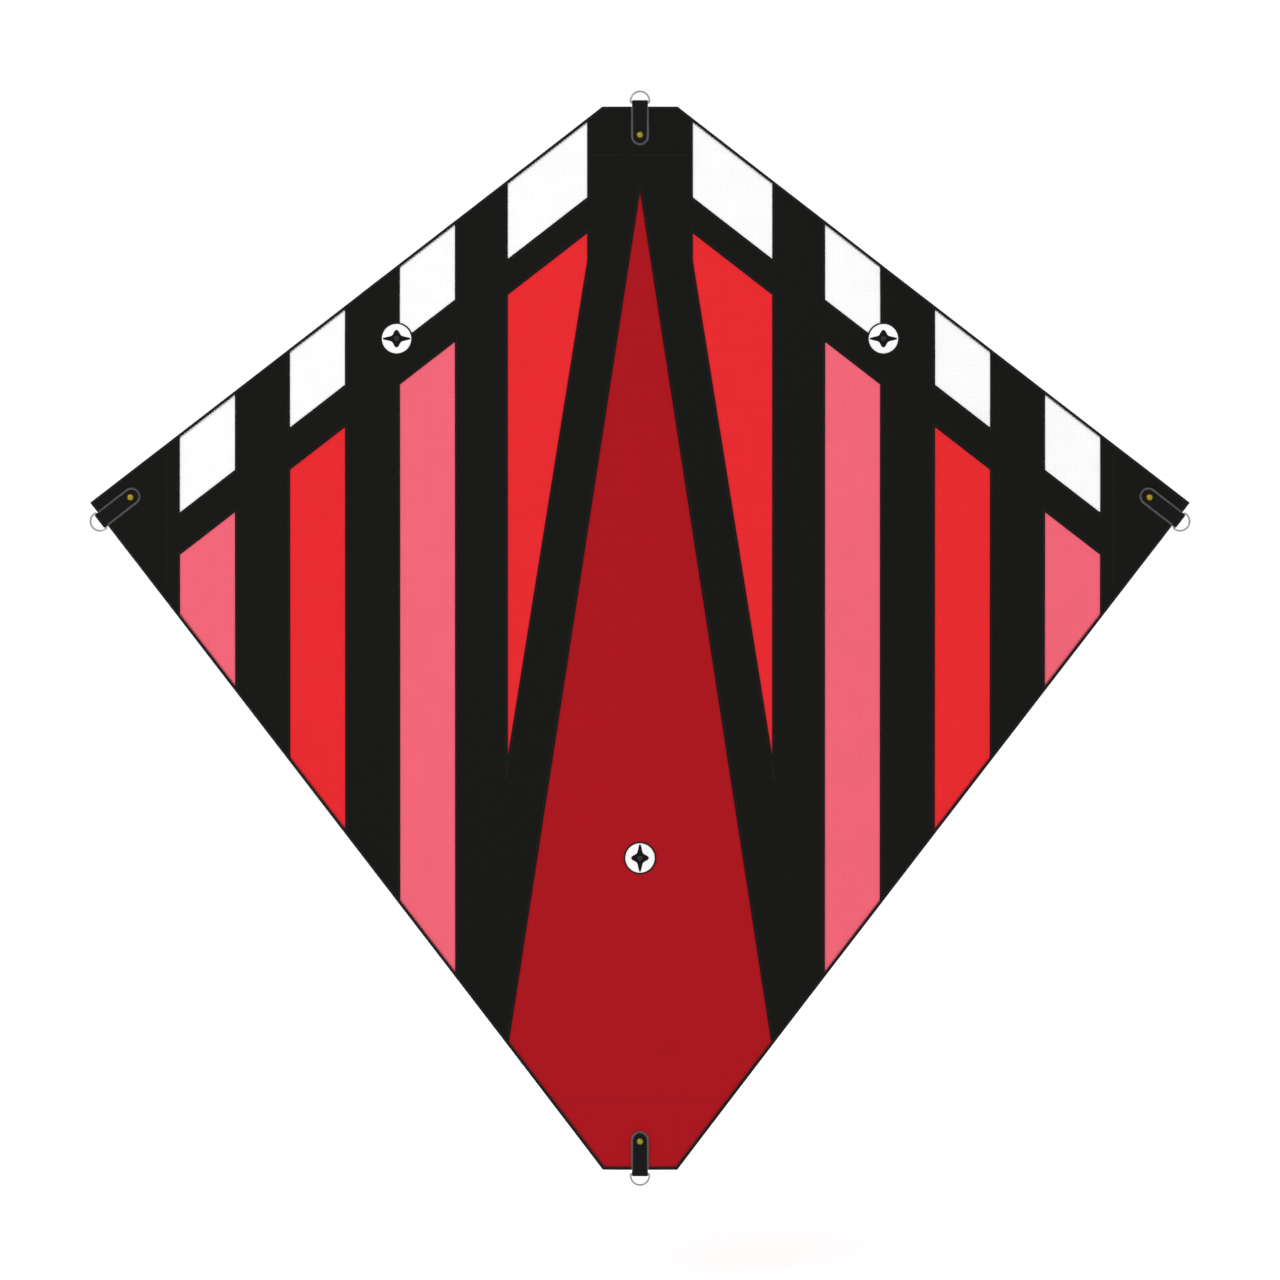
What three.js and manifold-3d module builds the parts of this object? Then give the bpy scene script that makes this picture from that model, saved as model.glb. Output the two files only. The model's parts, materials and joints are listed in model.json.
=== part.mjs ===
// Diamond kite: a flat ripstop sail stretched by a straight spine and a bowed cross spar behind it.
// Millimetres. +X is right as seen from the sail's front, +Y points out of the back, +Z to the nose.
// The origin is the centre of the cross fitting's flat back face, level with the crossing of the spars.
// "Below" is a distance down from the nose edge. "Depth" is a distance back from the sail's front face.
import * as THREE from "three";
import { mergeVertices } from "three/addons/utils/BufferGeometryUtils.js";
import Module from "manifold-3d";

const wasm = await Module();
wasm.setup();

// ---- Driving dimensions -------------------------------------------------------------------------

const GAP = 0.3; // between pieces that touch on the real kite
const PAST = 1; // a cutting tool reaches this far past what it cuts

// Sail outline: a diamond whose nose and tail are cut off square.
const SAIL_LENGTH = 1004;
const NOSE_HALF_WIDTH = 35.5;
const TAIL_HALF_WIDTH = 35;
const TIP_X = 519;
const TIP_BELOW = 374;

// Sail panels. Windows run down the sail between black bars, mirrored left and right.
const WINDOWS = [
  { inner: 50, outer: 125, band: 108, colour: "red" },
  { inner: 175, outer: 227, band: 114, colour: "pink" },
  { inner: 279, outer: 331, band: 114, colour: "red" },
  { inner: 383, outer: 435, band: 114, colour: "pink" },
];
const WHITE_DROP = 74; // height of the white panels, straight down from the leading edge
const SLIVER_BELOW = 145.5; // where the innermost colour panel starts to taper
const SLIVER_TAPER = 0.1605; // sideways per unit down
const SPEAR_BELOW = 80; // point of the central spear
const SPEAR_TAPER = 0.1543;
const RIM = 2.2; // black cloth left along the sail's edge
const OVERLAP = 6; // a panel reaches this far behind the cloth round its window
const PANEL_INSET = 0.9;

// Cloth, tape and webbing.
const CLOTH = 0.4;
const HEM_INSET = 0.5;
const HEM_WIDTH = 8;
const PATCH_INSET = 3;
const PATCH_DEPTH = { nose: 48, tail: 68, wing: 74 };
const WEBBING_WIDTH = 15;
const WEBBING = 1;

// Corner tabs: a webbing loop riveted through the sail, with a D-ring in its fold.
const RIVET_IN = 26.5; // from the nose or tail edge to the rivet
const WING_RIVET_IN = 32.8; // from the lower edge to the rivet of a wing tip
const WING_TAB_IN = 19; // from the leading edge to the middle of a wing tab
const TAB_END = 8.8; // rounded end of the tab past its rivet
const BAR_PAST_EDGE = 4.1; // D-ring bar beyond the sail at the nose and tail
const WING_BAR_PAST_EDGE = 2.2;
const SHANK_RADIUS = 1.5;
const RIVET_HEAD = 3;
const RIVET_DOME = 1.5;
const RIVET_DOME_STEPS = 4;
const RIVET_TAIL = { radius: 2.6, height: 0.5 };
const RING = { wire: 0.9, halfWidth: 8.9, corner: 1.6, reach: 10.8 };

// Spars: solid rods in capped ends, each in two halves joined by a sleeve.
const SPINE_RADIUS = 2.5;
const BOW_RADIUS = 2;
const ROD_END = 22.7; // from a corner's rivet to the end of its rod
const BOW_END_ANGLE = THREE.MathUtils.degToRad(35.9);
const CAP = { wall: 0.8, length: 16, floor: 1.5, chamfer: 1 };
const POCKET = { length: 19.1, pastRod: 3.1, wall: 1 };
const FERRULE_WALL = 0.5;
const SPINE_FERRULE = 50;
const SPINE_JOINT_BELOW = 502;
const BOW_FERRULE_HALF = 20;
const FITTING = { wall: 1.5, spineHalf: 17, bowHalf: 14, padHalfX: 14, padHalfZ: 8, pad: 0.4 };

// Bridle points: a round patch with a star window, and a cord loop round the spar, knotted in front.
const BRIDLE_X = 230;
const BRIDLE_BELOW = 218.8;
const LOWER_BRIDLE_BELOW = 709.7;
const DISC_RADIUS = 13.8;
const BACKING_RADIUS = 15.3;
const STAR = { reach: 8, waist: 2, slit: 1.3, slitReach: 12.6 };
const CORD_HOLE = 3;
const CORD_RADIUS = 1;
const KNOT_RADIUS = 2.4;
const STEM_RADIUS = 1.4;

// ---- Depths, worked out from the front of the sail to the back of the cross fitting --------------

const layer = (n) => [n * (CLOTH + GAP), n * (CLOTH + GAP) + CLOTH];
const FRONT_PATCH = layer(-1);
const GROUND = layer(0);
const PANELS = layer(1);
const HEM = layer(2);
const CORNER_PATCH = layer(3);
const TAB_FRONT = -GAP - WEBBING;
const TAB_BACK = CORNER_PATCH[1] + GAP + WEBBING;
const SEAT = TAB_BACK + GAP; // what lies against the back of a tab starts here
const RING_DEPTH = (TAB_FRONT + TAB_BACK) / 2;
const capRadius = (rod) => rod + GAP + CAP.wall;
const SPINE_DEPTH = SEAT + capRadius(SPINE_RADIUS);
const BOW_TIP_DEPTH = SEAT + capRadius(BOW_RADIUS);
const SPINE_BORE = SPINE_RADIUS + GAP;
const BOW_BORE = BOW_RADIUS + FERRULE_WALL + 2 * GAP;
const BOW_DEPTH = SPINE_DEPTH + SPINE_BORE + FITTING.wall + BOW_BORE;
const BACK = BOW_DEPTH + BOW_BORE + FITTING.wall + FITTING.pad;

// ---- Sail edges and corners ------------------------------------------------------------------------

const leadingRun = TIP_X - NOSE_HALF_WIDTH;
const leadingAngle = Math.atan2(TIP_BELOW, leadingRun);
const trailingAngle = Math.atan2(SAIL_LENGTH - TIP_BELOW, TIP_X - TAIL_HALF_WIDTH);
const along = new THREE.Vector2(Math.cos(leadingAngle), Math.sin(leadingAngle)); // x and below
const wingRivet = new THREE.Vector2(TIP_X, TIP_BELOW)
  .addScaledVector(along, -WING_RIVET_IN)
  .add(new THREE.Vector2(-along.y, along.x).multiplyScalar(WING_TAB_IN));
const bowEnd = wingRivet.clone().addScaledVector(along, ROD_END);

// ---- Bow -------------------------------------------------------------------------------------------

// A rod bent by its own ends takes the shape of an elastica. phi runs from -90 to 90 degrees along it,
// k is the sine of half the angle at its ends, and a unit elastica is 2k high.
const k = Math.sin(BOW_END_ANGLE / 2);
function elasticaX(phi) {
  const steps = 24;
  const slope = (a) => {
    const d = Math.sqrt(1 - (k * Math.sin(a)) ** 2);
    return 2 * d - 1 / d;
  };
  let sum = 0;
  for (let i = 0; i < steps; i++) {
    const a = (phi * i) / steps;
    const h = phi / steps;
    sum += (h / 6) * (slope(a) + 4 * slope(a + h / 2) + slope(a + h));
  }
  return sum;
}
const bowScale = bowEnd.x / elasticaX(Math.PI / 2);
const CROSS_BELOW = bowEnd.y - 2 * k * bowScale; // the bow's highest point, on the spine
const zAt = (below) => CROSS_BELOW - below;

class Bow extends THREE.Curve {
  constructor(from, to) {
    super();
    this.from = from;
    this.to = to;
  }
  getPoint(t, target = new THREE.Vector3()) {
    const phi = THREE.MathUtils.lerp(this.from, this.to, t);
    const x = bowScale * elasticaX(phi);
    const z = 2 * k * bowScale * (Math.cos(phi) - 1);
    const rise = (1 - (x / bowEnd.x) ** 2) ** 2;
    return target.set(x, THREE.MathUtils.lerp(BOW_TIP_DEPTH, BOW_DEPTH, rise), z);
  }
}
const phiAtDistance = (distance) => distance / bowScale; // near the middle, where phi is arc length

// ---- Solids ----------------------------------------------------------------------------------------

function toSolid(geometry) {
  const bare = geometry.clone();
  bare.deleteAttribute("normal");
  bare.deleteAttribute("uv");
  const merged = mergeVertices(bare, 1e-4);
  const triVerts = new Uint32Array(merged.index.array);
  const vertProperties = merged.attributes.position.array;
  return new wasm.Manifold(new wasm.Mesh({ numProp: 3, vertProperties, triVerts }));
}

function toGeometry(solid) {
  const mesh = solid.getMesh();
  const geometry = new THREE.BufferGeometry();
  geometry.setAttribute("position", new THREE.BufferAttribute(mesh.vertProperties, 3));
  geometry.setIndex(new THREE.BufferAttribute(mesh.triVerts, 1));
  geometry.computeVertexNormals();
  return geometry;
}

const cut = (body, ...tools) =>
  toGeometry(tools.reduce((solid, tool) => solid.subtract(toSolid(tool)), toSolid(body)));
const join = (...bodies) => toGeometry(bodies.map(toSolid).reduce((a, b) => a.add(b)));

const circle = (radius) => new THREE.Shape().absarc(0, 0, radius, 0, 2 * Math.PI);

// A flat sheet parallel to the sail: its outline is in x and z, its depths are a pair.
function sheet(shape, [front, back], curveSegments = 12) {
  const options = { depth: back - front, bevelEnabled: false, curveSegments };
  return new THREE.ExtrudeGeometry(shape, options).rotateX(Math.PI / 2).translate(0, back, 0);
}

const disc = (radius, depths, x, z) => sheet(circle(radius), depths, 9).translate(x, 0, z);
const beyond = ([front, back]) => [front - PAST, back + PAST];
const drill = (radius, x, z) => disc(radius, beyond([TAB_FRONT, SEAT]), x, z);

// A rod or a tube along a curve.
function sweep(curve, radius, steps, bore = 0, sides = 12) {
  const section = new THREE.Shape();
  section.absarc(0, 0, radius, 0, 2 * Math.PI);
  if (bore) section.holes.push(new THREE.Path().absarc(0, 0, bore, 0, 2 * Math.PI, true));
  const options = { steps, extrudePath: curve, curveSegments: sides / 2, bevelEnabled: false };
  return new THREE.ExtrudeGeometry(section, options);
}

function cylinderZ(radius, bottom, top, x, y, sides = 16) {
  const geometry = new THREE.CylinderGeometry(radius, radius, top - bottom, sides);
  return geometry.rotateX(Math.PI / 2).translate(x, y, (bottom + top) / 2);
}

function cylinderX(radius, halfLength, y, z, sides = 16) {
  const geometry = new THREE.CylinderGeometry(radius, radius, 2 * halfLength, sides);
  return geometry.rotateZ(Math.PI / 2).translate(0, y, z);
}

function box(x0, x1, y0, y1, z0, z1) {
  const geometry = new THREE.BoxGeometry(x1 - x0, y1 - y0, z1 - z0);
  return geometry.translate((x0 + x1) / 2, (y0 + y1) / 2, (z0 + z1) / 2);
}

// ---- Finishes --------------------------------------------------------------------------------------

const finish = (color, roughness, metalness = 0) => ({ color, roughness, metalness });
const FINISH = {
  black: finish("#1a1a17", 0.7),
  white: finish("#fefefe", 0.7),
  red: finish("#e62d32", 0.7),
  pink: finish("#ef6678", 0.7),
  crimson: finish("#a91922", 0.7),
  webbing: finish("#131313", 0.85),
  cord: finish("#26262a", 0.8),
  steel: finish("#c9ccd0", 0.25, 1),
  brass: finish("#c9a227", 0.3, 1),
  rod: finish("#101012", 0.35),
  plastic: finish("#17171a", 0.5),
  aluminium: finish("#b9bcc0", 0.35, 1),
};

function piece(name, geometry, finishName) {
  const mesh = new THREE.Mesh(geometry, new THREE.MeshStandardMaterial(FINISH[finishName]));
  mesh.name = name;
  return mesh;
}

// ---- Sail ------------------------------------------------------------------------------------------

// Keeps the part of a convex outline on the inner side of a line, given by its normal and its place.
function clip(outline, normal, limit) {
  const inside = (p) => limit - normal.dot(p);
  return outline.flatMap((p, i) => {
    const q = outline[(i + 1) % outline.length];
    const [a, b] = [inside(p), inside(q)];
    const crossing = a * b < 0 ? [p.clone().lerp(q, a / (a - b))] : [];
    return a >= 0 ? [p, ...crossing] : crossing;
  });
}

const v2 = (x, z) => new THREE.Vector2(x, z);
const leadingNormal = v2(Math.sin(leadingAngle), Math.cos(leadingAngle));
const trailingNormal = v2(Math.sin(trailingAngle), -Math.cos(trailingAngle));
const leadingLimit = leadingNormal.dot(v2(TIP_X, zAt(TIP_BELOW)));
const trailingLimit = trailingNormal.dot(v2(TIP_X, zAt(TIP_BELOW)));
const mirrored = (normal) => v2(-normal.x, normal.y);

function sailOutline(inset) {
  const [top, bottom] = [zAt(0) - inset, zAt(SAIL_LENGTH) + inset];
  let outline = [v2(-TIP_X, bottom), v2(TIP_X, bottom), v2(TIP_X, top), v2(-TIP_X, top)];
  for (const turn of [(n) => n, mirrored]) {
    outline = clip(outline, turn(leadingNormal), leadingLimit - inset);
    outline = clip(outline, turn(trailingNormal), trailingLimit - inset);
  }
  return outline;
}

// The band between two upright lines on the right-hand side, grown by a margin.
function strip(window, margin, inset) {
  const outline = clip(sailOutline(inset), v2(-1, 0), margin - window.inner);
  return clip(outline, v2(1, 0), window.outer + margin);
}

function whiteOutline(window, margin, inset) {
  const lower = WHITE_DROP * Math.cos(leadingAngle) - leadingLimit;
  return clip(strip(window, margin, inset), leadingNormal.clone().negate(), lower + margin);
}

function colourOutline(window, margin, inset) {
  const upper = leadingLimit - window.band * Math.cos(leadingAngle);
  const outline = clip(strip(window, margin, inset), leadingNormal, upper + margin);
  if (window !== WINDOWS[0]) return outline;
  const taper = v2(-1, -SLIVER_TAPER).normalize();
  return clip(outline, taper, taper.dot(v2(window.inner, zAt(SLIVER_BELOW))) + margin);
}

function spearOutline(margin, inset) {
  const side = v2(1, SPEAR_TAPER).normalize();
  const limit = side.dot(v2(0, zAt(SPEAR_BELOW))) + margin;
  return clip(clip(sailOutline(inset), side, limit), mirrored(side), limit);
}

const onLeft = (outline) => outline.map((p) => v2(-p.x, p.y)).reverse();
const cloth = (outline, depths) => sheet(new THREE.Shape(outline), depths);
const CUT_DEPTHS = beyond(GROUND);

const SIDES = [
  { side: "left", sign: -1, place: onLeft },
  { side: "right", sign: 1, place: (outline) => outline },
];
const cordHoles = [
  drill(CORD_HOLE, -BRIDLE_X, zAt(BRIDLE_BELOW)),
  drill(CORD_HOLE, BRIDLE_X, zAt(BRIDLE_BELOW)),
];
const rivets = {
  nose: v2(0, zAt(RIVET_IN)),
  tail: v2(0, zAt(SAIL_LENGTH - RIVET_IN)),
  left_wing: v2(-wingRivet.x, zAt(wingRivet.y)),
  right_wing: v2(wingRivet.x, zAt(wingRivet.y)),
};
const rivetHole = (corner) => drill(SHANK_RADIUS + GAP, rivets[corner].x, rivets[corner].y);

// Black cloth, with an opening behind each coloured or white area and a round lobe at each upper
// bridle point, which gives the patch there a black border.
function groundCloth() {
  let solid = toSolid(cloth(sailOutline(0), GROUND));
  for (const { sign, place } of SIDES) {
    const lobe = disc(BACKING_RADIUS, beyond(CUT_DEPTHS), 0, 0);
    const keep = toSolid(lobe.translate(sign * BRIDLE_X, 0, zAt(BRIDLE_BELOW)));
    for (const window of WINDOWS)
      for (const outline of [whiteOutline(window, 0, RIM), colourOutline(window, 0, RIM)])
        solid = solid.subtract(toSolid(cloth(place(outline), CUT_DEPTHS)).subtract(keep));
  }
  solid = solid.subtract(toSolid(cloth(spearOutline(0, RIM), CUT_DEPTHS)));
  const holes = [...cordHoles, ...["nose", "left_wing", "right_wing"].map(rivetHole)];
  return holes.reduce((rest, hole) => rest.subtract(toSolid(hole)), solid);
}

function sail() {
  const group = new THREE.Group();
  group.add(piece("ground_cloth", toGeometry(groundCloth()), "black"));
  for (const { side, place } of SIDES)
    WINDOWS.forEach((window, i) => {
      const white = cloth(place(whiteOutline(window, OVERLAP, PANEL_INSET)), PANELS);
      const colour = cloth(place(colourOutline(window, OVERLAP, PANEL_INSET)), PANELS);
      group.add(
        piece(`${side}_white_panel_${i + 1}`, cut(white, ...cordHoles), "white"),
        piece(`${side}_${window.colour}_panel_${i + 1}`, colour, window.colour),
      );
    });
  const spear = cloth(spearOutline(OVERLAP, PANEL_INSET), PANELS);
  const spearHoles = [drill(CORD_HOLE, 0, zAt(LOWER_BRIDLE_BELOW)), rivetHole("tail")];
  group.add(piece("crimson_spear_panel", cut(spear, ...spearHoles), "crimson"));
  const hem = new THREE.Shape(sailOutline(HEM_INSET));
  hem.holes.push(new THREE.Path(sailOutline(HEM_INSET + HEM_WIDTH)));
  group.add(piece("edge_hem_tape", sheet(hem, HEM), "webbing"));
  return group;
}

// ---- Corners ---------------------------------------------------------------------------------------

// In a corner's own frame x runs outward from the rivet along the tab, y is depth and z is across.
// The tab is a hairpin of webbing with one end rounded round the rivet.
function tab(bar) {
  const [outer, inner] = [(TAB_BACK - TAB_FRONT) / 2, (TAB_BACK - TAB_FRONT) / 2 - WEBBING];
  const side = new THREE.Shape();
  side.moveTo(-TAB_END, TAB_FRONT);
  side.absarc(bar, RING_DEPTH, outer, -Math.PI / 2, Math.PI / 2);
  side.lineTo(-TAB_END, TAB_BACK);
  side.lineTo(-TAB_END, TAB_BACK - WEBBING);
  side.absarc(bar, RING_DEPTH, inner, Math.PI / 2, -Math.PI / 2, true);
  side.lineTo(-TAB_END, TAB_FRONT + WEBBING);
  const half = WEBBING_WIDTH / 2;
  const options = { depth: WEBBING_WIDTH, bevelEnabled: false, curveSegments: 7 };
  const hairpin = new THREE.ExtrudeGeometry(side, options).translate(0, 0, -half);
  const plan = new THREE.Shape();
  const [arcCentre, past] = [half - TAB_END, half + PAST];
  plan.moveTo(arcCentre, past);
  plan.absarc(arcCentre, 0, half, Math.PI / 2, (3 * Math.PI) / 2);
  plan.lineTo(arcCentre, -past);
  plan.lineTo(bar + outer + PAST, -past);
  plan.lineTo(bar + outer + PAST, past);
  const rounded = sheet(plan, beyond([TAB_FRONT, TAB_BACK]), 8);
  const strap = toSolid(hairpin).intersect(toSolid(rounded));
  return toGeometry(strap.subtract(toSolid(drill(SHANK_RADIUS + GAP, 0, 0))));
}

// A wire D-ring: its straight bar lies in the fold, with the wire's two ends butted in its middle.
class RingPath extends THREE.Curve {
  constructor(bar) {
    super();
    const { halfWidth, corner, reach } = RING;
    const legEnd = bar + reach - halfWidth;
    this.wire = new THREE.Path();
    this.wire.moveTo(bar, GAP / 2);
    this.wire.lineTo(bar, halfWidth - corner);
    this.wire.absarc(bar + corner, halfWidth - corner, corner, Math.PI, Math.PI / 2, true);
    this.wire.absarc(legEnd, 0, halfWidth, Math.PI / 2, -Math.PI / 2, true);
    this.wire.absarc(bar + corner, corner - halfWidth, corner, -Math.PI / 2, -Math.PI, true);
    this.wire.lineTo(bar, -GAP / 2);
  }
  getPoint(t, target = new THREE.Vector3()) {
    const p = this.wire.getPoint(t);
    return target.set(p.x, RING_DEPTH, p.y);
  }
}

// A rivet with a domed head in front and a flat set head behind.
function rivet() {
  const front = TAB_FRONT - GAP;
  const profile = [];
  for (let i = 0; i <= RIVET_DOME_STEPS; i++) {
    const a = (i / RIVET_DOME_STEPS) * (Math.PI / 2);
    profile.push(v2(RIVET_HEAD * Math.sin(a), front - RIVET_DOME * Math.cos(a)));
  }
  profile[0].x = 0;
  profile.push(v2(SHANK_RADIUS, front), v2(SHANK_RADIUS, SEAT));
  profile.push(v2(RIVET_TAIL.radius, SEAT), v2(RIVET_TAIL.radius, SEAT + RIVET_TAIL.height));
  profile.push(v2(0, SEAT + RIVET_TAIL.height));
  return new THREE.LatheGeometry(profile, 14);
}

// In a rod end's own frame x runs outward from the rod's end and y is depth.
// The cap is a closed-ended tube, and the pocket an arch of webbing over it, shut at its outer end.
function endCap(rod, depth) {
  const radius = capRadius(rod);
  const [open, end] = [GAP + CAP.floor - CAP.length, GAP + CAP.floor];
  const profile = [
    v2(0, GAP),
    v2(rod + GAP, GAP),
    v2(rod + GAP, open),
    v2(radius, open),
    v2(radius, end - CAP.chamfer),
    v2(radius - CAP.chamfer, end),
    v2(0, end),
  ];
  return new THREE.LatheGeometry(profile, 14).rotateZ(-Math.PI / 2).translate(0, depth, 0);
}

function pocket(rod, depth) {
  const inner = capRadius(rod) + GAP;
  const outer = inner + WEBBING;
  const half = WEBBING_WIDTH / 2;
  const outside = (shape) => {
    shape.moveTo(-half, SEAT);
    shape.lineTo(-half, SEAT + WEBBING);
    shape.lineTo(-outer, SEAT + WEBBING);
    shape.absarc(0, depth, outer, Math.PI, 0, true);
    shape.lineTo(outer, SEAT + WEBBING);
    shape.lineTo(half, SEAT + WEBBING);
    shape.lineTo(half, SEAT);
    return shape;
  };
  const arch = outside(new THREE.Shape());
  arch.lineTo(inner, SEAT);
  arch.absarc(0, depth, inner, 0, Math.PI);
  arch.lineTo(-inner, SEAT);
  const options = { bevelEnabled: false, curveSegments: 8 };
  const wallIn = POCKET.pastRod - POCKET.wall;
  const sleeve = new THREE.ExtrudeGeometry(arch, { ...options, depth: POCKET.length - POCKET.wall });
  const wall = new THREE.ExtrudeGeometry(outside(new THREE.Shape()), { ...options, depth: POCKET.wall });
  sleeve.translate(0, 0, POCKET.pastRod - POCKET.length);
  wall.translate(0, 0, wallIn);
  return join(sleeve, wall).rotateY(Math.PI / 2);
}

// Reinforcing cloth inside each corner, following the sail's edges.
function cornerPatch(corner) {
  const outline = sailOutline(PATCH_INSET);
  const cuts = {
    nose: [v2(0, -1), PATCH_DEPTH.nose - zAt(0)],
    tail: [v2(0, 1), zAt(SAIL_LENGTH) + PATCH_DEPTH.tail],
    left_wing: [v2(1, 0), PATCH_DEPTH.wing - TIP_X],
    right_wing: [v2(-1, 0), PATCH_DEPTH.wing - TIP_X],
  };
  return cut(cloth(clip(outline, ...cuts[corner]), CORNER_PATCH), rivetHole(corner));
}

// Turns a group so that its own x points at an angle in the x-z plane, counted from +X towards +Z.
function turned(x, z, angle, ...children) {
  const group = new THREE.Group();
  group.position.set(x, 0, z);
  group.rotation.y = -angle;
  group.add(...children);
  return group;
}

function corner(name, angle, bar, rod, rodDepth, rodAngle) {
  const place = rivets[name];
  const ring = sweep(new RingPath(bar), RING.wire, 32, 0, 8);
  const hardware = turned(
    place.x,
    place.y,
    angle,
    piece(`${name}_tab`, tab(bar), "webbing"),
    piece(`${name}_d_ring`, ring, "steel"),
    piece(`${name}_rivet`, rivet(), "brass"),
  );
  const rodEnd = place.clone().add(v2(Math.cos(angle), Math.sin(angle)).multiplyScalar(ROD_END));
  const sparEnd = turned(
    rodEnd.x,
    rodEnd.y,
    rodAngle,
    piece(`${name}_end_cap`, endCap(rod, rodDepth), "plastic"),
    piece(`${name}_spar_pocket`, pocket(rod, rodDepth), "webbing"),
  );
  const group = new THREE.Group();
  group.add(hardware, sparEnd, piece(`${name}_corner_patch`, cornerPatch(name), "black"));
  return group;
}

function corners() {
  const group = new THREE.Group();
  const [bar, wingBar] = [RIVET_IN + BAR_PAST_EDGE, WING_RIVET_IN + WING_BAR_PAST_EDGE];
  const [up, down] = [Math.PI / 2, -Math.PI / 2];
  group.add(
    corner("nose", up, bar, SPINE_RADIUS, SPINE_DEPTH, up),
    corner("tail", down, bar, SPINE_RADIUS, SPINE_DEPTH, down),
    corner("right_wing", -leadingAngle, wingBar, BOW_RADIUS, BOW_TIP_DEPTH, -BOW_END_ANGLE),
    corner(
      "left_wing",
      Math.PI + leadingAngle,
      wingBar,
      BOW_RADIUS,
      BOW_TIP_DEPTH,
      Math.PI + BOW_END_ANGLE,
    ),
  );
  return group;
}

// ---- Spars -----------------------------------------------------------------------------------------

function spine() {
  const joint = zAt(SPINE_JOINT_BELOW);
  const [top, bottom] = [rivets.nose.y + ROD_END, rivets.tail.y - ROD_END];
  const ferruleBore = SPINE_RADIUS + GAP;
  const ferruleEnds = [joint - SPINE_FERRULE / 2, joint + SPINE_FERRULE / 2];
  const sleeve = cylinderZ(ferruleBore + FERRULE_WALL, ...ferruleEnds, 0, SPINE_DEPTH);
  const bore = cylinderZ(ferruleBore, ...beyond(ferruleEnds), 0, SPINE_DEPTH);
  const rod = (from, to) => cylinderZ(SPINE_RADIUS, from, to, 0, SPINE_DEPTH);
  const group = new THREE.Group();
  group.add(
    piece("upper_spine_rod", rod(joint + GAP / 2, top), "rod"),
    piece("lower_spine_rod", rod(bottom, joint - GAP / 2), "rod"),
    piece("spine_ferrule", cut(sleeve, bore), "aluminium"),
  );
  return group;
}

function bow() {
  const gap = phiAtDistance(GAP / 2);
  const half = phiAtDistance(BOW_FERRULE_HALF);
  const rod = (from, to) => sweep(new Bow(from, to), BOW_RADIUS, 36);
  const ferrule = sweep(
    new Bow(-half, half),
    BOW_RADIUS + GAP + FERRULE_WALL,
    4,
    BOW_RADIUS + GAP,
  );
  const group = new THREE.Group();
  group.add(
    piece("left_bow_rod", rod(-Math.PI / 2, -gap), "rod"),
    piece("right_bow_rod", rod(gap, Math.PI / 2), "rod"),
    piece("bow_ferrule", ferrule, "aluminium"),
  );
  return group;
}

// A moulded cross: an upright sleeve on the spine, a level one behind it on the bow, and a flat back.
function crossFitting() {
  const { wall, spineHalf, bowHalf, padHalfX, padHalfZ } = FITTING;
  const body = join(
    cylinderZ(SPINE_BORE + wall, -spineHalf, spineHalf, 0, SPINE_DEPTH, 24),
    cylinderX(BOW_BORE + wall, bowHalf, BOW_DEPTH, 0, 24),
    box(-padHalfX, padHalfX, BOW_DEPTH, BACK, -padHalfZ, padHalfZ),
    box(-SPINE_BORE, SPINE_BORE, SPINE_DEPTH, BOW_DEPTH, -padHalfZ, padHalfZ),
  );
  return cut(
    body,
    cylinderZ(SPINE_BORE, ...beyond([-spineHalf, spineHalf]), 0, SPINE_DEPTH, 24),
    cylinderX(BOW_BORE, bowHalf + PAST, BOW_DEPTH, 0, 24),
  );
}

// ---- Bridle points ---------------------------------------------------------------------------------

// A round patch with a four-pointed star window and a slit that runs along the spar behind it.
function bridlePatch(slitAngle) {
  const { reach, waist, slit, slitReach } = STAR;
  const star = new THREE.Shape();
  star.moveTo(reach, 0);
  star.quadraticCurveTo(waist, waist, 0, reach);
  star.quadraticCurveTo(-waist, waist, -reach, 0);
  star.quadraticCurveTo(-waist, -waist, 0, -reach);
  star.quadraticCurveTo(waist, -waist, reach, 0);
  const through = beyond(FRONT_PATCH);
  const slot = box(-slitReach, slitReach, ...through, -slit, slit);
  return cut(disc(DISC_RADIUS, FRONT_PATCH, 0, 0), sheet(star, through, 8), slot).rotateY(slitAngle);
}

// A loop round the spar, its two ends run forward together through the sail to a stopper knot.
// The spar runs in x-z at an angle from +X, and its middle is at a depth.
function bridleLoop(rod, depth, angle) {
  const loopRadius = rod + GAP + CORD_RADIUS;
  const loop = new THREE.TorusGeometry(loopRadius, CORD_RADIUS, 6, 14);
  loop.rotateY(Math.PI / 2).rotateY(-angle).translate(0, depth, 0);
  const knotDepth = FRONT_PATCH[0] - KNOT_RADIUS;
  const stemBack = depth - loopRadius;
  const stem = new THREE.CylinderGeometry(STEM_RADIUS, STEM_RADIUS, stemBack - knotDepth, 8);
  stem.translate(0, (stemBack + knotDepth) / 2, 0);
  const knot = new THREE.SphereGeometry(KNOT_RADIUS, 10, 7).translate(0, knotDepth, 0);
  return join(loop, stem, knot);
}

function bridlePoint(name, x, z, slitAngle, rod, depth, sparAngle) {
  return turned(
    x,
    z,
    0,
    piece(`${name}_bridle_patch`, bridlePatch(slitAngle), "white"),
    piece(`${name}_bridle_loop`, bridleLoop(rod, depth, sparAngle), "cord"),
  );
}

// Where the bow passes a given x: halves the range of phi until it is found.
function bowAt(x) {
  const curve = new Bow(0, Math.PI / 2);
  let [low, high] = [0, 1];
  for (let i = 0; i < 40; i++) {
    const middle = (low + high) / 2;
    if (curve.getPoint(middle).x < x) low = middle;
    else high = middle;
  }
  return { point: curve.getPoint(low), tangent: curve.getTangent(low) };
}

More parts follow.
